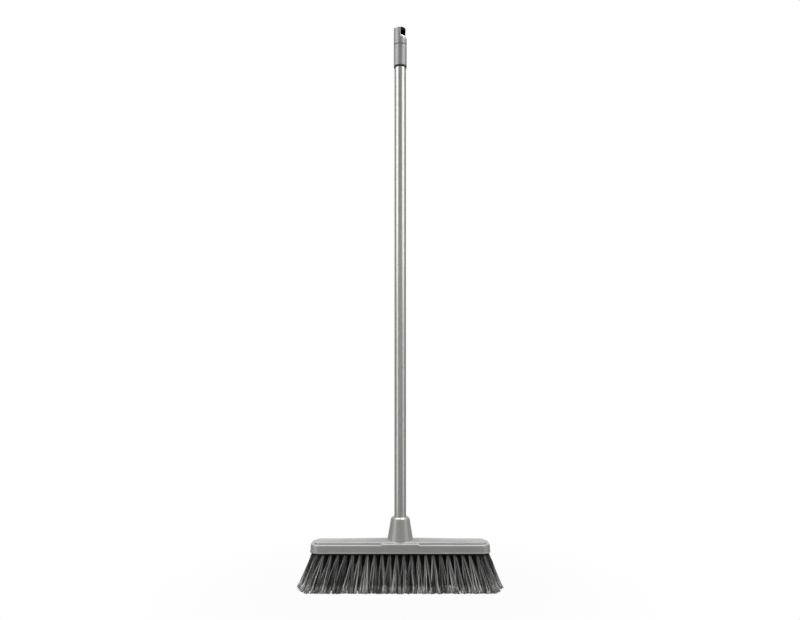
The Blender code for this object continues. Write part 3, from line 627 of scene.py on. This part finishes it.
def swept_bars(paths, radii, chance):
    """Three-sided bars along many paths at once: at each point three corners stand round it at azimuths a third of
    a turn apart, radius (cos a, sin a, 0), because every path runs mostly down. Both ends are closed."""
    count, stations = paths.shape[:2]
    spin = tau * chance.random(count)[:, None] + np.arange(3) * tau / 3
    points = paths[:, :, None] + spun(1.0, spin, 0.0)[:, None] * np.asarray(radii)[:, None, None]
    first = np.arange(count)[:, None, None] * 3 * stations
    sides = (first + grid_faces(stations, 3)).reshape(-1, 4)
    caps = (first + np.array([(2, 1, 0), np.array((0, 1, 2)) + 3 * stations - 3])).reshape(-1, 3)
    return points.reshape(-1, 3), sides, caps


def bristle_mesh(row, head, bristle):
    """A row's mesh: the filaments, and a finer hair beside each from its split down, with three attributes: tone,
    along, which is 0 at the plate and 1 at the tip, and inner, which is 1 in the rows between the outer two."""
    paths, along, chance = filament_paths(row, head, bristle)
    outer = row in (0, bristle.rows - 1)
    tones = filament_tones(len(paths), outer, bristle, chance)
    radii = [bristle.thick] * len(STATIONS) + [0.95 * bristle.thick, bristle.fine]
    points, sides, caps = swept_bars(paths, radii, chance)
    hair = paths[:, [-2, -2, -1]].copy()
    hair[:, 1] = (paths[:, -2] + paths[:, -1]) / 2
    apart = chance.normal(0.0, HAIR_SPREAD, (len(paths), 2))
    hair[:, 1, :2] += apart * 0.45
    hair[:, 2, :2] += apart
    hair[:, 2, 2] += np.abs(chance.normal(0.0, HAIR_RISE, len(paths)))
    hair_points, hair_sides, hair_caps = swept_bars(hair, bristle.fine * HAIR_RADII, chance)
    everything = np.concatenate([points, hair_points])
    quads = np.concatenate([sides, hair_sides + len(points)])
    ends = np.concatenate([caps, hair_caps + len(points)])
    corners = np.concatenate([quads.ravel(), ends.ravel()]).astype(np.int32)
    starts = np.concatenate([np.arange(len(quads)) * 4, len(quads) * 4 + np.arange(len(ends)) * 3]).astype(np.int32)
    mesh = bpy.data.meshes.new(f"filaments_{row + 1}")
    mesh.vertices.add(len(everything))
    mesh.vertices.foreach_set("co", everything.astype(np.float32).ravel())
    mesh.loops.add(len(corners))
    mesh.loops.foreach_set("vertex_index", corners)
    mesh.polygons.add(len(starts))
    mesh.polygons.foreach_set("loop_start", starts)
    mesh.update(calc_edges=True)
    hair_along = (bristle.split, (1 + bristle.split) / 2, 1.0)
    shares = [np.tile(np.repeat(each, 3), len(paths)) for each in (along, hair_along)]
    for label, values in (
        ("tone", np.concatenate([np.repeat(tones, 3 * len(along)), np.repeat(tones, 9)])),
        ("along", np.concatenate(shares)),
        ("inner", np.full(len(everything), 0.0 if outer else 1.0)),
    ):
        attribute = mesh.attributes.new(label, "FLOAT", "POINT")
        attribute.data.foreach_set("value", values.astype(np.float32))
    mesh.shade_smooth()
    return mesh


# ---------------------------------------------------------------- handle


FOOT_CHAMFER = 0.0004  # chamfer of the hanger's foot
WINDOW_ROWS = 12  # rows of points from a window's sill to the hanger's top edge
WALL_STEP = 0.05  # angle between the hanger's columns
SLANT_REACH = 0.25  # angle over which the slant of a window's side dies out
OUTER_SWEEP = 2.2  # how much more the sill rises outside than inside
EYE_POWER = 7.0  # n of the eye's rounded rectangle
EYE_EDGE = (0.00035, 0.00008)  # how far the eye's rim is eased back at its first two rings


def band_form(radii, heights, edge, steps, around):
    """A turned ring between two radii and two heights, with the inner edges just broken and its outer edges
    rounded."""
    (inner, outer), (low, high) = radii, heights
    section = [(inner, low, BROKEN), (outer, low, edge), (outer, high, edge), (inner, high, BROKEN)]
    return turned(rounded(section, closed=True, steps=steps), closed=True, steps=around)


def tube_form(handle):
    """The tube, with its ends' edges just broken."""
    radii = TUBE_HIGH.x - handle.tube_wall, TUBE_HIGH.x
    return band_form(radii, (TUBE_LOW.z, TUBE_HIGH.z), BROKEN, 3, 96)


def sleeve_form(handle):
    """The grip sleeve: a closed turned section with a bead at its foot, a lid over the tube's end and a rim."""
    outer, low, high = GRIP_HIGH.x, GRIP_LOW.z, GRIP_HIGH.z
    bore, rim = TUBE_HIGH.x + handle.fit_gap, outer - handle.rim_wall
    hole = TUBE_HIGH.x - handle.tube_wall
    lid_low = TUBE_HIGH.z + handle.fit_gap
    lid_top = lid_low + handle.lid
    section = [(rim, high, EASED), (outer, high, 1.5 * handle.edge), (outer, low, handle.bead), (bore, low, BROKEN)]
    section += [(bore, lid_low, 0.0), (hole, lid_low, EASED), (hole, lid_top, EASED), (rim, lid_top, 0.0)]
    return turned(rounded(section, closed=True, steps=6), closed=True, steps=128)


def ring_form(handle):
    """The ring under the sleeve."""
    return band_form((TUBE_HIGH.x + handle.fit_gap, RING_HIGH.x), (RING_LOW.z, RING_HIGH.z), 0.0005, 5, 128)


def plug_form(handle):
    """The upper plug: stem, flange, pin and snap head, turned."""
    stem = TUBE_HIGH.x - handle.tube_wall - handle.fit_gap
    flange, pin, snap = PLUG_HIGH.x, handle.pin_radius, handle.pin_head
    low, top = PLUG_LOW.z, PLUG_HIGH.z
    flange_low = TUBE_HIGH.z + handle.lid + 2 * handle.fit_gap
    flange_top = flange_low + handle.flange
    snap_low = top - handle.snap_height
    section = [(0.0, low, 0.0), (stem, low, handle.stem_round), (stem, flange_low, 0.0)]
    section += [(flange, flange_low, EASED), (flange, flange_top, SOFT), (pin, flange_top, SOFT)]
    section += [(pin, snap_low, EASED), (snap, snap_low, SOFT), (snap, top, 0.0012), (0.0, top, 0.0)]
    return turned(rounded(section, steps=4), steps=72)


def tip_form(handle, thread, steps=120):
    """The lower plug: stem, collar and nose, turned, with the thread's ridge added to the nose's radius."""
    stem, collar, core = TUBE_HIGH.x - handle.tube_wall - handle.fit_gap, TUBE_HIGH.x, thread.core
    collar_top = TUBE_LOW.z - handle.fit_gap
    collar_low = collar_top - thread.collar
    section = [(0.0, TIP_HIGH.z, 0.0), (stem, TIP_HIGH.z, handle.stem_round), (stem, collar_top, 0.0)]
    section += [(collar, collar_top, EASED), (collar, collar_low, SOFT), (core, collar_low, 0.0)]
    nose = paired(core, spaced(collar_low, TIP_LOW.z + thread.chamfer, NOSE_STEP)[1:])
    end = [(core - thread.chamfer, TIP_LOW.z), (0.0, TIP_LOW.z)]
    profile = np.concatenate([rounded(section, steps=3), nose, end])
    azimuth, height = np.arange(steps) * tau / steps, profile[:, 1:]
    low = TIP_LOW.z + thread.start - thread.ridge
    high = TIP_LOW.z + thread.start + thread.run + thread.ridge
    fade = np.clip((height - low) / thread.fade, 0, 1) * np.clip((high - height) / thread.fade, 0, 1)
    ridge = ridge_height(azimuth, height, thread, thread.ridge) * fade * (profile[:, :1] == core)
    return turned(profile, steps=steps, swell=ridge)


def cap_form(handle):
    """The hanger: an outer and an inner turned profile, row by row, joined as a wall. Its columns are azimuths from
    the front window's middle, and the cells from the sill up over the top's edge are left out where the two windows
    are. There the outer grid is turned outwards and the inner one inwards, which slants the windows' sides, and the
    sill rows are lifted by sweep (1 - cos a) of the azimuth a, the outer one from further down."""
    foot = GRIP_HIGH.x - handle.rim_wall - handle.fit_gap
    outer, pocket = CAP_HIGH.x, CORE_HIGH.x + handle.fit_gap
    low, bottom, top = CAP_LOW.z, GRIP_HIGH.z + handle.seam, CAP_HIGH.z
    pocket_floor, ceiling = CORE_LOW.z - handle.fit_gap, top - handle.top_skin
    sill = CORE_LOW.z + handle.window_sill
    outer_sill = sill - handle.window_chamfer
    hole = handle.pin_head + handle.fit_gap
    edge, low_edge = handle.top_edge, handle.foot_edge
    rise, quarter = np.linspace(0.0, 1.0, WINDOW_ROWS), np.linspace(0.0, pi / 2, 9)[1:]
    swing, climb = 1 - np.cos(quarter), 1 - np.sin(quarter)
    foot_corners = [(hole, low), (foot - FOOT_CHAMFER, low), (foot, low + FOOT_CHAMFER), (foot, bottom)]
    under = [
        [*foot_corners, (outer - low_edge, bottom)],
        paired(outer - low_edge * climb, bottom + low_edge * swing),
        [(outer, (bottom + low_edge + outer_sill) / 2)],
    ]
    first = sum(len(part) for part in under)
    over = [
        paired(outer, outer_sill + (top - edge - outer_sill) * rise),
        paired(outer - edge * swing, top - edge * climb),
        paired(np.linspace(outer - edge, 0.0, 8)[1:], top),
    ]
    out = np.concatenate(under + over)
    inn = [
        paired(np.linspace(hole, pocket, first - 2), pocket_floor),
        [(pocket, pocket_floor + 0.0008), (pocket, (pocket_floor + sill) / 2)],
        paired(pocket, sill + (ceiling - EASED - sill) * rise),
        paired(np.linspace(pocket - EASED, 0.0, len(out) - first - WINDOW_ROWS), ceiling),
    ]
    near, far = handle.window_half, pi - handle.back_window_half
    parts = [spaced(start, end, WALL_STEP)[:-1] for start, end in ((0.0, near), (near, far))]
    half = np.concatenate([*parts, spaced(far, pi, WALL_STEP)])
    azimuth = np.concatenate([half, -half[-2:0:-1]])
    size = np.abs(azimuth)
    slant = handle.window_slant * np.sign(azimuth)
    slant = slant * (np.exp(-(((size - near) / SLANT_REACH) ** 2)) - np.exp(-(((size - far) / SLANT_REACH) ** 2)))
    world = azimuth + handle.hanger_turn - pi / 2
    fade = np.zeros((len(out), 1))
    fade[first : first + WINDOW_ROWS, 0] = 1 - rise
    sweep = handle.sill_sweep * fade * np.where(size < pi / 2, 1 - np.cos(azimuth), 1 + np.cos(azimuth))
    outside = spun(out[:, :1], world + slant, out[:, 1:] + OUTER_SWEEP * sweep)
    inn = np.concatenate(inn)
    inside = spun(inn[:, :1], world - slant, inn[:, 1:] + sweep)
    onward = np.roll(azimuth, -1) - azimuth
    middle = np.where(np.abs(onward) > pi, pi, np.abs(azimuth + onward / 2))
    row = np.arange(len(out) - 1)[:, None]
    in_height = (row >= first) & (row < first + WINDOW_ROWS + len(quarter))
    in_window = (middle < near) | (middle > far)
    return walled(outside, inside, ~(in_height & in_window))


def core_form(handle, around=96):
    """The core: a solid cylinder with the eye through it, as one closed sheet. For each direction a round the eye's
    axis, a half plane cuts the solid. The loop runs from the eye's wall out over the front to the far edge, back
    over the rear and home through the eye: at a distance d from the axis the cylinder's face lies at plus or minus
    the root of R^2 - (d cos a)^2. The eye is a rounded rectangle, and its wall distance follows |x|^n + |z|^n."""
    radius = CORE_HIGH.x
    width, height = handle.eye_width / 2, handle.eye_height / 2
    centre = CORE_LOW.z + handle.eye_sill + height
    up, down = CAP_HIGH.z - handle.top_skin - handle.fit_gap - centre, centre - CORE_LOW.z
    high, low = np.arctan2((up, down), radius)
    corners = (high, pi - high, pi + low, tau - low)
    way = np.sort(np.concatenate([np.arange(around) * tau / around, corners]))
    across, along = np.cos(way), np.sin(way)
    wall = (np.abs(across / width) ** EYE_POWER + np.abs(along / height) ** EYE_POWER) ** (-1 / EYE_POWER)
    limit = np.where(along > 0, up, down)
    far = np.minimum(radius / np.maximum(np.abs(across), 1e-9), limit / np.maximum(np.abs(along), 1e-9))
    out = np.concatenate([[0.0, 0.03, 0.08], np.linspace(0.16, 1.0, 12)])[:, None]
    reach = wall + (far - wall) * out
    face = np.sqrt(np.clip(radius**2 - (reach * across) ** 2, 0.0, None))
    face[:2] -= np.array(EYE_EDGE)[:, None]
    steps = np.linspace(1.0, -1.0, 10)[1:-1, None]

    def sheet(distance, depth):
        return np.stack(np.broadcast_arrays(distance * across, depth, distance * along), -1)

    front = sheet(reach, -face)
    back = front[::-1] * (1, -1, 1)
    loop = np.concatenate([front, sheet(far, -face[-1] * steps), back, sheet(wall, face[0] * steps)])
    turn_cos, turn_sin = np.cos(handle.hanger_turn), np.sin(handle.hanger_turn)
    x, y, z = np.moveaxis(loop, -1, 0)
    points = np.stack([x * turn_cos - y * turn_sin, x * turn_sin + y * turn_cos, z + centre], -1)
    return points.reshape(-1, 3), grid_faces(*points.shape[:2], wrap_rows=True)


# ---------------------------------------------------------------- finishes


class Wire:
    """A socket of a node tree. Plain operators on it add Math nodes, so shader sums are written as expressions."""

    def __init__(self, nodes, socket):
        self.nodes, self.socket = nodes, socket

    def math(self, operation, *values):
        return self.nodes.add("Math", {"operation": operation}, dict(enumerate(values)))

    def __add__(self, other):
        return self.math("ADD", self, other)

    def __radd__(self, other):
        return self.math("ADD", other, self)

    def __sub__(self, other):
        return self.math("SUBTRACT", self, other)

    def __rsub__(self, other):
        return self.math("SUBTRACT", other, self)

    def __mul__(self, other):
        return self.math("MULTIPLY", self, other)

    def clamped(self, low, high, start=0.0):
        """start below low, 1 above high, and straight between."""
        inputs = {"Value": self, "From Min": low, "From Max": high, "To Min": start}
        return self.nodes.add("MapRange", {"clamp": True}, inputs)


class Nodes:
    """A node tree, with one method that adds a node and one for each common kind."""

    def __init__(self, tree):
        self.tree = tree

    def plug(self, socket, value):
        if isinstance(value, Wire):
            self.tree.links.new(value.socket, socket)
        elif socket.type == "RGBA" and len(value) == 3:
            socket.default_value = (*value, 1.0)
        else:
            socket.default_value = value

    def add(self, kind, settings=None, inputs=None, output=0):
        """Adds a shader node: its settings first, then the values or links of its sockets."""
        made = self.tree.nodes.new("ShaderNode" + kind)
        for key, value in (settings or {}).items():
            setattr(made, key, value)
        for key, value in (inputs or {}).items():
            self.plug(made.inputs[key], value)
        return Wire(self, made.outputs[output])

    def finish_with(self, kind, socket, wire):
        """Links a wire to the tree's output node, which is added where there is none."""
        found = [node for node in self.tree.nodes if node.bl_idname == kind]
        out = found[0] if found else self.tree.nodes.new(kind)
        self.tree.links.new(wire.socket, out.inputs[socket])

    def place(self):
        """Object coordinates."""
        return self.add("TexCoord", output="Object")

    def noise(self, place, scale, detail=3.0, roughness=0.55):
        return self.add("TexNoise", None, {"Vector": place, "Scale": scale, "Detail": detail, "Roughness": roughness})

    def mix(self, factor, first, second):
        return self.add("Mix", {"data_type": "RGBA"}, {0: factor, 6: first, 7: second}, output=2)

    def tints(self, factor, tint, low, high):
        """A mix of a colour at a low and at a high level."""
        return self.mix(factor, tinted(tint, low), tinted(tint, high))

    def bump(self, height, strength, distance):
        return self.add("Bump", None, {"Height": height, "Strength": strength, "Distance": distance})

    def attribute(self, name):
        return self.add("Attribute", {"attribute_name": name}, output="Fac")

    def part(self, vector, axis):
        return self.add("SeparateXYZ", None, {0: vector}, output=axis)

    def rays(self):
        """Light Path's camera ray, and its glossy and transmission rays as one."""
        kinds = ("Camera", "Glossy", "Transmission")
        camera, gloss, glass = (self.add("LightPath", output=f"Is {kind} Ray") for kind in kinds)
        return camera, gloss.math("MAXIMUM", gloss, glass)


class Finish(Nodes):
    """A material's node tree round its Principled shader."""

    def __init__(self, name, **sockets):
        self.material = bpy.data.materials.new(name)
        self.material.use_nodes = True
        super().__init__(self.material.node_tree)
        self.shader = self.tree.nodes["Principled BSDF"]
        self.feed(**sockets)

    def feed(self, **sockets):
        """Sets or links the shader's sockets, named with underscores for spaces."""
        for key, value in sockets.items():
            self.plug(self.shader.inputs[key.replace("_", " ")], value)
        return self.material


def tinted(tint, factor):
    return tuple(min(value * factor, 1.0) for value in tint)


def moulded(name, tint):
    """Moulded plastic with metal flake: fine sparkle, faint clouds where it flowed, and a soft grain."""
    made = Finish(name, Metallic=0.35, Coat_Roughness=0.30, Specular_IOR_Level=0.45)
    place = made.place()
    flake = made.noise(place, 1500.0, 2.0, 0.7)
    cloud = made.noise(place, 22.0, 4.0, 0.5)
    grain = made.noise(place, 700.0, 3.0, 0.6)
    light = ((flake - 0.5) * 0.35 + (cloud - 0.5) * 0.8 + 0.5).clamped(0.0, 1.0)
    return made.feed(
        Base_Color=made.tints(light, tint, 0.88, 1.12),
        Roughness=0.40 + (cloud - 0.5) * 0.08 + (flake - 0.5) * 0.03,
        Coat_Weight=0.10,
        Normal=made.bump(grain, 0.02, 0.00003),
    )


def silver_plastic(colours):
    """The head's plastic."""
    return moulded("silver_plastic", colours.silver_plastic)


def grip_plastic(colours):
    """The sleeve's and the hanger's plastic."""
    return moulded("grip_plastic", colours.grip_plastic)


def silver_paint(colours):
    """Silver paint on a steel tube: flake, a light orange peel, and faint streaks along the tube."""
    made = Finish("silver_paint", Metallic=0.55, Coat_Roughness=0.15)
    place = made.place()
    flake = made.noise(place, 2200.0, 2.0, 0.7)
    peel = made.noise(place, 420.0, 2.0, 0.45)
    drawn = made.add("Mapping", None, {"Vector": place, "Scale": (260.0, 260.0, 6.0)})
    streak = made.noise(drawn, 1.0, 3.0, 0.5)
    light = ((flake - 0.5) * 0.5 + (streak - 0.5) * 0.5 + 0.5).clamped(0.0, 1.0)
    return made.feed(
        Base_Color=made.tints(light, colours.silver_paint, 0.93, 1.07),
        Roughness=0.28 + (streak - 0.5) * 0.06 + (flake - 0.5) * 0.02,
        Coat_Weight=0.15,
        Normal=made.bump(peel, 0.03, 0.00001),
    )


def black_plastic(colours):
    """Matt black moulded plastic with a fine spark-eroded grain."""
    made = Finish("black_plastic", Specular_IOR_Level=0.06)
    place = made.place()
    grain = made.noise(place, 1600.0, 3.0, 0.65)
    cloud = made.noise(place, 60.0, 3.0, 0.5)
    light = ((grain - 0.5) * 0.6 + (cloud - 0.5) * 0.7 + 0.5).clamped(0.0, 1.0)
    return made.feed(
        Base_Color=made.tints(light, colours.black_plastic, 0.7, 1.6),
        Roughness=0.55 + (cloud - 0.5) * 0.15,
        Normal=made.bump(grain, 0.35, 0.00005),
    )


def black_rubber(colours):
    """Black rubber: duller, with soft mottling."""
    made = Finish("black_rubber", Specular_IOR_Level=0.25)
    mottle = made.noise(made.place(), 500.0, 4.0, 0.6)
    return made.feed(
        Base_Color=made.tints(mottle, colours.black_rubber, 0.7, 1.5),
        Roughness=0.68 + (mottle - 0.5) * 0.2,
        Normal=made.bump(mottle, 0.3, 0.00004),
    )


def bristle_finish(colours):
    """Filaments: even grey at the plate, and black, grey or pale by their tone further down. Painted shade blackens the
    depth between the roots, split tips are pale, and painted light turns the brush's two ends pale."""
    black, middle, pale = colours.bristle_black_and_shade, colours.bristle_grey, colours.bristle_pale_and_backlight
    made = Finish("bristle", Specular_IOR_Level=0.35)
    tone, along, inner = made.attribute("tone"), made.attribute("along"), made.attribute("inner")
    tint = made.mix(tone.clamped(0.0, 0.5), black, middle)
    tint = made.mix(tone.clamped(0.5, 1.0), tint, pale)
    tint = made.mix(along.clamped(0.12, 0.62), made.tints(tone, middle, 0.60, 1.30), tint)
    # Painted light towards the brush's two ends: the filaments turn pale below their roots, as if lit through from
    # behind.
    aside = made.part(made.place(), "X")
    aside = aside.math("ABSOLUTE", aside)
    tint = made.mix(aside.clamped(0.172, 0.202) * along.clamped(0.3, 0.9), tint, pale)
    # Painted shade: black between the inner rows and under the plate, both less so near the ends.
    near_end = aside.clamped(0.150, 0.174)
    # Painted shade deep between the inner rows, fading towards their tips.
    depth = inner * (1.0 - along.clamped(0.30, 0.90)) * (0.95 - near_end * 0.90)
    # Painted shadow over the roots just below the plate.
    root = (1.0 - along.clamped(0.055, 0.105)) * (0.98 - near_end * 0.55)
    tint = made.mix(root, made.mix(depth, tint, black), black)
    # The worn tips, palest on light filaments.
    worn = along.clamped(0.80, 1.0) * tone.clamped(-0.05, 0.62) * 1.50
    wear = made.noise(made.place(), 350.0, 2.0, 0.5)
    return made.feed(Base_Color=made.mix(worn, tint, pale), Roughness=0.42 + (wear - 0.5) * 0.2)


# The maker of each finish, and the record's material slot that it stands for.
FINISHES = {
    "silver_plastic": (silver_plastic, "silver_plastic"),
    "grip_plastic": (grip_plastic, "silver_plastic"),
    "silver_paint": (silver_paint, "silver_paint"),
    "black_plastic": (black_plastic, "black_plastic"),
    "black_rubber": (black_rubber, "black_ring"),
    "bristle": (bristle_finish, "bristle"),
}


def finish_named(name):
    """The named finish, made once from the scene's colours. The CAD's own materials can have the same names."""
    for material in bpy.data.materials:
        if material.get("broom_finish") == name:
            return material
    made = FINISHES[name][0](bpy.context.scene.broom_finish)
    made["broom_finish"] = name
    return made


# ---------------------------------------------------------------- studio


# Each light's place, the point that it faces, its width and height, the setting of its power and its share of it.
LIGHTS = {
    "left_strip": ((-1.329, -0.692, 1.55), (0.0, 0.0, 1.0), 1.22, 1.50, "left_power", 1.0),
    "right_strip": ((1.387, -0.773, 1.55), (0.0, 0.0, 1.0), 1.34, 1.50, "right_power", 1.0),
    "left_low_strip": ((-0.669, -0.402, 0.35), (0.0, 0.0, 0.35), 0.42, 0.70, "low_power", 1.0),
    "right_low_strip": ((0.702, -0.342, 0.35), (0.0, 0.0, 0.35), 0.46, 0.70, "low_power", 0.75),
    "left_top_light": ((-0.52, 0.25, 2.30), (0.0, 0.0, 0.62), 0.60, 1.00, "top_power", 0.5),
    "right_top_light": ((0.52, 0.25, 2.30), (0.0, 0.0, 0.62), 0.60, 1.00, "top_power", 0.5),
    "front_light": ((0.0, -2.60, 0.75), (0.0, 0.0, 0.60), 1.80, 1.50, "front_power", 1.0),
}


def area_light(name, place, aim, wide, tall, power):
    """A soft rectangular light at a place, facing a point."""
    lamp = bpy.data.lights.new(name, "AREA")
    lamp.shape = "RECTANGLE"
    lamp.size, lamp.size_y = wide, tall
    lamp.energy = power
    thing = bpy.data.objects.new(name, lamp)
    thing.location = place
    thing.rotation_euler = (Vector(aim) - Vector(place)).to_track_quat("-Z", "Y").to_euler()
    bpy.context.scene.collection.objects.link(thing)


def floor_material():
    """A white table. The camera sees it mostly as white as the background, with a part of its real shading near
    the broom, so that the shadow stays, and none towards its edge. Gloss and glass see the same white from the
    broom backwards."""
    made = Finish("studio_floor", Base_Color=(0.20, 0.20, 0.20), Roughness=1.0, Specular_IOR_Level=0.0)
    place = made.place()
    away = made.add("VectorMath", {"operation": "LENGTH"}, {0: place}, output="Value")
    camera, gloss = made.rays()
    seen = camera.math("MAXIMUM", camera, gloss * made.part(place, "Y").clamped(0.25, 0.60))
    white = made.add("Emission", None, {"Strength": 1.0})
    matt = Wire(made, made.shader.outputs[0])
    mixed = made.add("MixShader", None, {0: away.clamped(0.25, 0.55, 0.96) * seen, 1: matt, 2: white})
    made.finish_with("ShaderNodeOutputMaterial", "Surface", mixed)
    return made.material


def white_floor(radius):
    """The round table, a little under the bristle tips."""
    shape = bmesh.new()
    bmesh.ops.create_circle(shape, cap_ends=True, segments=96, radius=radius)
    bmesh.ops.translate(shape, verts=shape.verts, vec=(0.0, 0.0, -0.0002))
    mesh = bpy.data.meshes.new("studio_floor")
    shape.to_mesh(mesh)
    shape.free()
    mesh.materials.append(floor_material())
    ground = bpy.data.objects.new("studio_floor", mesh)
    bpy.context.scene.collection.objects.link(ground)


def studio_world(studio):
    """White to the camera. Gloss sees the white backdrop behind the broom and a grey room elsewhere, and
    everything else gets an even fill."""
    world = bpy.data.worlds.new("studio")
    bpy.context.scene.world = world
    world.use_nodes = True
    made = Nodes(world.node_tree)
    made.tree.nodes.clear()
    camera, gloss = made.rays()
    behind = made.part(made.add("TexCoord", output="Generated"), "Y")
    room = behind.clamped(0.80, 0.97, studio.studio_grey)
    level = made.add("Mix", None, {0: gloss, 2: studio.fill, 3: room})
    level = made.add("Mix", None, {0: camera, 2: level, 3: 1.0})
    light = made.add("Background", None, {"Color": (1.0, 1.0, 1.0), "Strength": level})
    made.finish_with("ShaderNodeOutputWorld", "Surface", light)


# ---------------------------------------------------------------- operators


class BROOM_OT_stage(bpy.types.Operator):
    """Sets the camera, the lights, the white floor and the background"""

    bl_idname = "broom.stage"
    bl_label = "Stage"

    def execute(self, context):
        studio = context.scene.broom_studio
        camera = bpy.data.cameras.new("photo_camera")
        camera.lens, camera.shift_x, camera.shift_y = studio.lens, studio.side_shift, studio.shift
        camera.clip_start, camera.clip_end = 0.05, 60.0
        thing = bpy.data.objects.new("photo_camera", camera)
        thing.location = (0.0, -studio.distance, studio.height)
        thing.rotation_euler = (pi / 2 + studio.tilt, 0.0, 0.0)
        context.scene.collection.objects.link(thing)
        context.scene.camera = thing
        for name, (place, aim, wide, tall, power, part) in LIGHTS.items():
            area_light(name, place, aim, wide, tall, part * getattr(studio, power))
        white_floor(studio.table)
        studio_world(studio)
        context.scene.view_settings.view_transform = "Standard"
        return {"FINISHED"}


class BROOM_OT_cover(bpy.types.Operator):
    """Builds the head's moulded cover"""

    bl_idname = "broom.cover"
    bl_label = "Head cover"

    def execute(self, context):
        form = cover_form(context.scene.broom_head)
        make_piece("cover", form, "head", "silver_plastic", "head_cover", smooth=50.0)
        return {"FINISHED"}


class BROOM_OT_socket(bpy.types.Operator):
    """Builds the conical socket with its threaded bore"""

    bl_idname = "broom.socket"
    bl_label = "Socket"

    def execute(self, context):
        form = socket_form(context.scene.broom_head, context.scene.broom_thread)
        make_piece("socket", form, "head", "silver_plastic", "head_cover", smooth=45.0)
        return {"FINISHED"}


class BROOM_OT_plate(bpy.types.Operator):
    """Builds the black plate with a collar round every tuft"""

    bl_idname = "broom.plate"
    bl_label = "Tuft plate"

    def execute(self, context):
        form = plate_form(context.scene.broom_head, context.scene.broom_bristle)
        make_piece("tuft_plate", form, "head", "black_plastic", "bristle_block")
        return {"FINISHED"}


class BROOM_OT_bristles(bpy.types.Operator):
    """Builds the rows of bristles"""

    bl_idname = "broom.bristles"
    bl_label = "Bristles"

    def execute(self, context):
        head, bristle = context.scene.broom_head, context.scene.broom_bristle
        for row in range(bristle.rows):
            mesh = bristle_mesh(row, head, bristle)
            place_piece(f"filaments_{row + 1}", mesh, "head", "bristle", f"bristle_row_{row + 1}")
        return {"FINISHED"}


class BROOM_OT_tube(bpy.types.Operator):
    """Builds the painted tube"""

    bl_idname = "broom.tube"
    bl_label = "Tube"

    def execute(self, context):
        make_piece("tube", tube_form(context.scene.broom_handle), "handle", "silver_paint", "handle_tube")
        return {"FINISHED"}


class BROOM_OT_plugs(bpy.types.Operator):
    """Builds the two plugs in the tube's ends"""

    bl_idname = "broom.plugs"
    bl_label = "Plugs"

    def execute(self, context):
        handle, thread = context.scene.broom_handle, context.scene.broom_thread
        make_piece("pivot_plug", plug_form(handle), "handle", "black_plastic", "tube_plug")
        make_piece("screw_tip", tip_form(handle, thread), "handle", "black_plastic", "threaded_tip")
        return {"FINISHED"}


class BROOM_OT_grip(bpy.types.Operator):
    """Builds the grip sleeve and the black ring under it"""

    bl_idname = "broom.grip"
    bl_label = "Grip"

    def execute(self, context):
        handle = context.scene.broom_handle
        make_piece("sleeve", sleeve_form(handle), "handle", "grip_plastic", "grip_sleeve")
        make_piece("black_band", ring_form(handle), "grip_ring", "black_rubber", "grip_ring")
        return {"FINISHED"}


class BROOM_OT_hanger(bpy.types.Operator):
    """Builds the turning hanger and its black core with the eye"""

    bl_idname = "broom.hanger"
    bl_label = "Hanger"

    def execute(self, context):
        handle = context.scene.broom_handle
        make_piece("hanger", cap_form(handle), "hanger", "grip_plastic", "hanger_cap", bevel=0.00035)
        make_piece("eye_core", core_form(handle), "hanger", "black_plastic", "hanger_core", smooth=50.0)
        return {"FINISHED"}


class BROOM_PT_panel(bpy.types.Panel):
    """Lists the broom's pieces and their settings"""

    bl_idname = "BROOM_PT_panel"
    bl_label = "Soft Bristle Broom"
    bl_space_type = "VIEW_3D"
    bl_region_type = "UI"
    bl_category = "Broom"

    def draw(self, context):
        for operator in OPERATORS:
            self.layout.operator(operator.bl_idname)
        for name, group in SETTINGS.items():
            box = self.layout.box()
            box.label(text=group.__name__)
            for key in group.__annotations__:
                box.prop(getattr(context.scene, name), key)


SETTINGS = {
    "broom_handle": BroomHandleSettings,
    "broom_head": BroomHeadSettings,
    "broom_thread": BroomThreadSettings,
    "broom_bristle": BroomBristleSettings,
    "broom_finish": BroomFinishSettings,
    "broom_studio": BroomStudioSettings,
}
OPERATORS = (
    BROOM_OT_stage,
    BROOM_OT_cover,
    BROOM_OT_socket,
    BROOM_OT_plate,
    BROOM_OT_bristles,
    BROOM_OT_tube,
    BROOM_OT_plugs,
    BROOM_OT_grip,
    BROOM_OT_hanger,
)


def register():
    for group in SETTINGS.values():
        bpy.utils.register_class(group)
    for operator in OPERATORS:
        bpy.utils.register_class(operator)
    bpy.utils.register_class(BROOM_PT_panel)
    for name, group in SETTINGS.items():
        setattr(bpy.types.Scene, name, PointerProperty(type=group))


def unregister():
    for name in SETTINGS:
        delattr(bpy.types.Scene, name)
    bpy.utils.unregister_class(BROOM_PT_panel)
    for operator in reversed(OPERATORS):
        bpy.utils.unregister_class(operator)
    for group in reversed(SETTINGS.values()):
        bpy.utils.unregister_class(group)


def main():
    register()
    bpy.ops.broom.stage()
    bpy.ops.broom.cover()
    bpy.ops.broom.socket()
    bpy.ops.broom.plate()
    bpy.ops.broom.bristles()
    bpy.ops.broom.tube()
    bpy.ops.broom.plugs()
    bpy.ops.broom.grip()
    bpy.ops.broom.hanger()


if __name__ == "__main__":
    main()
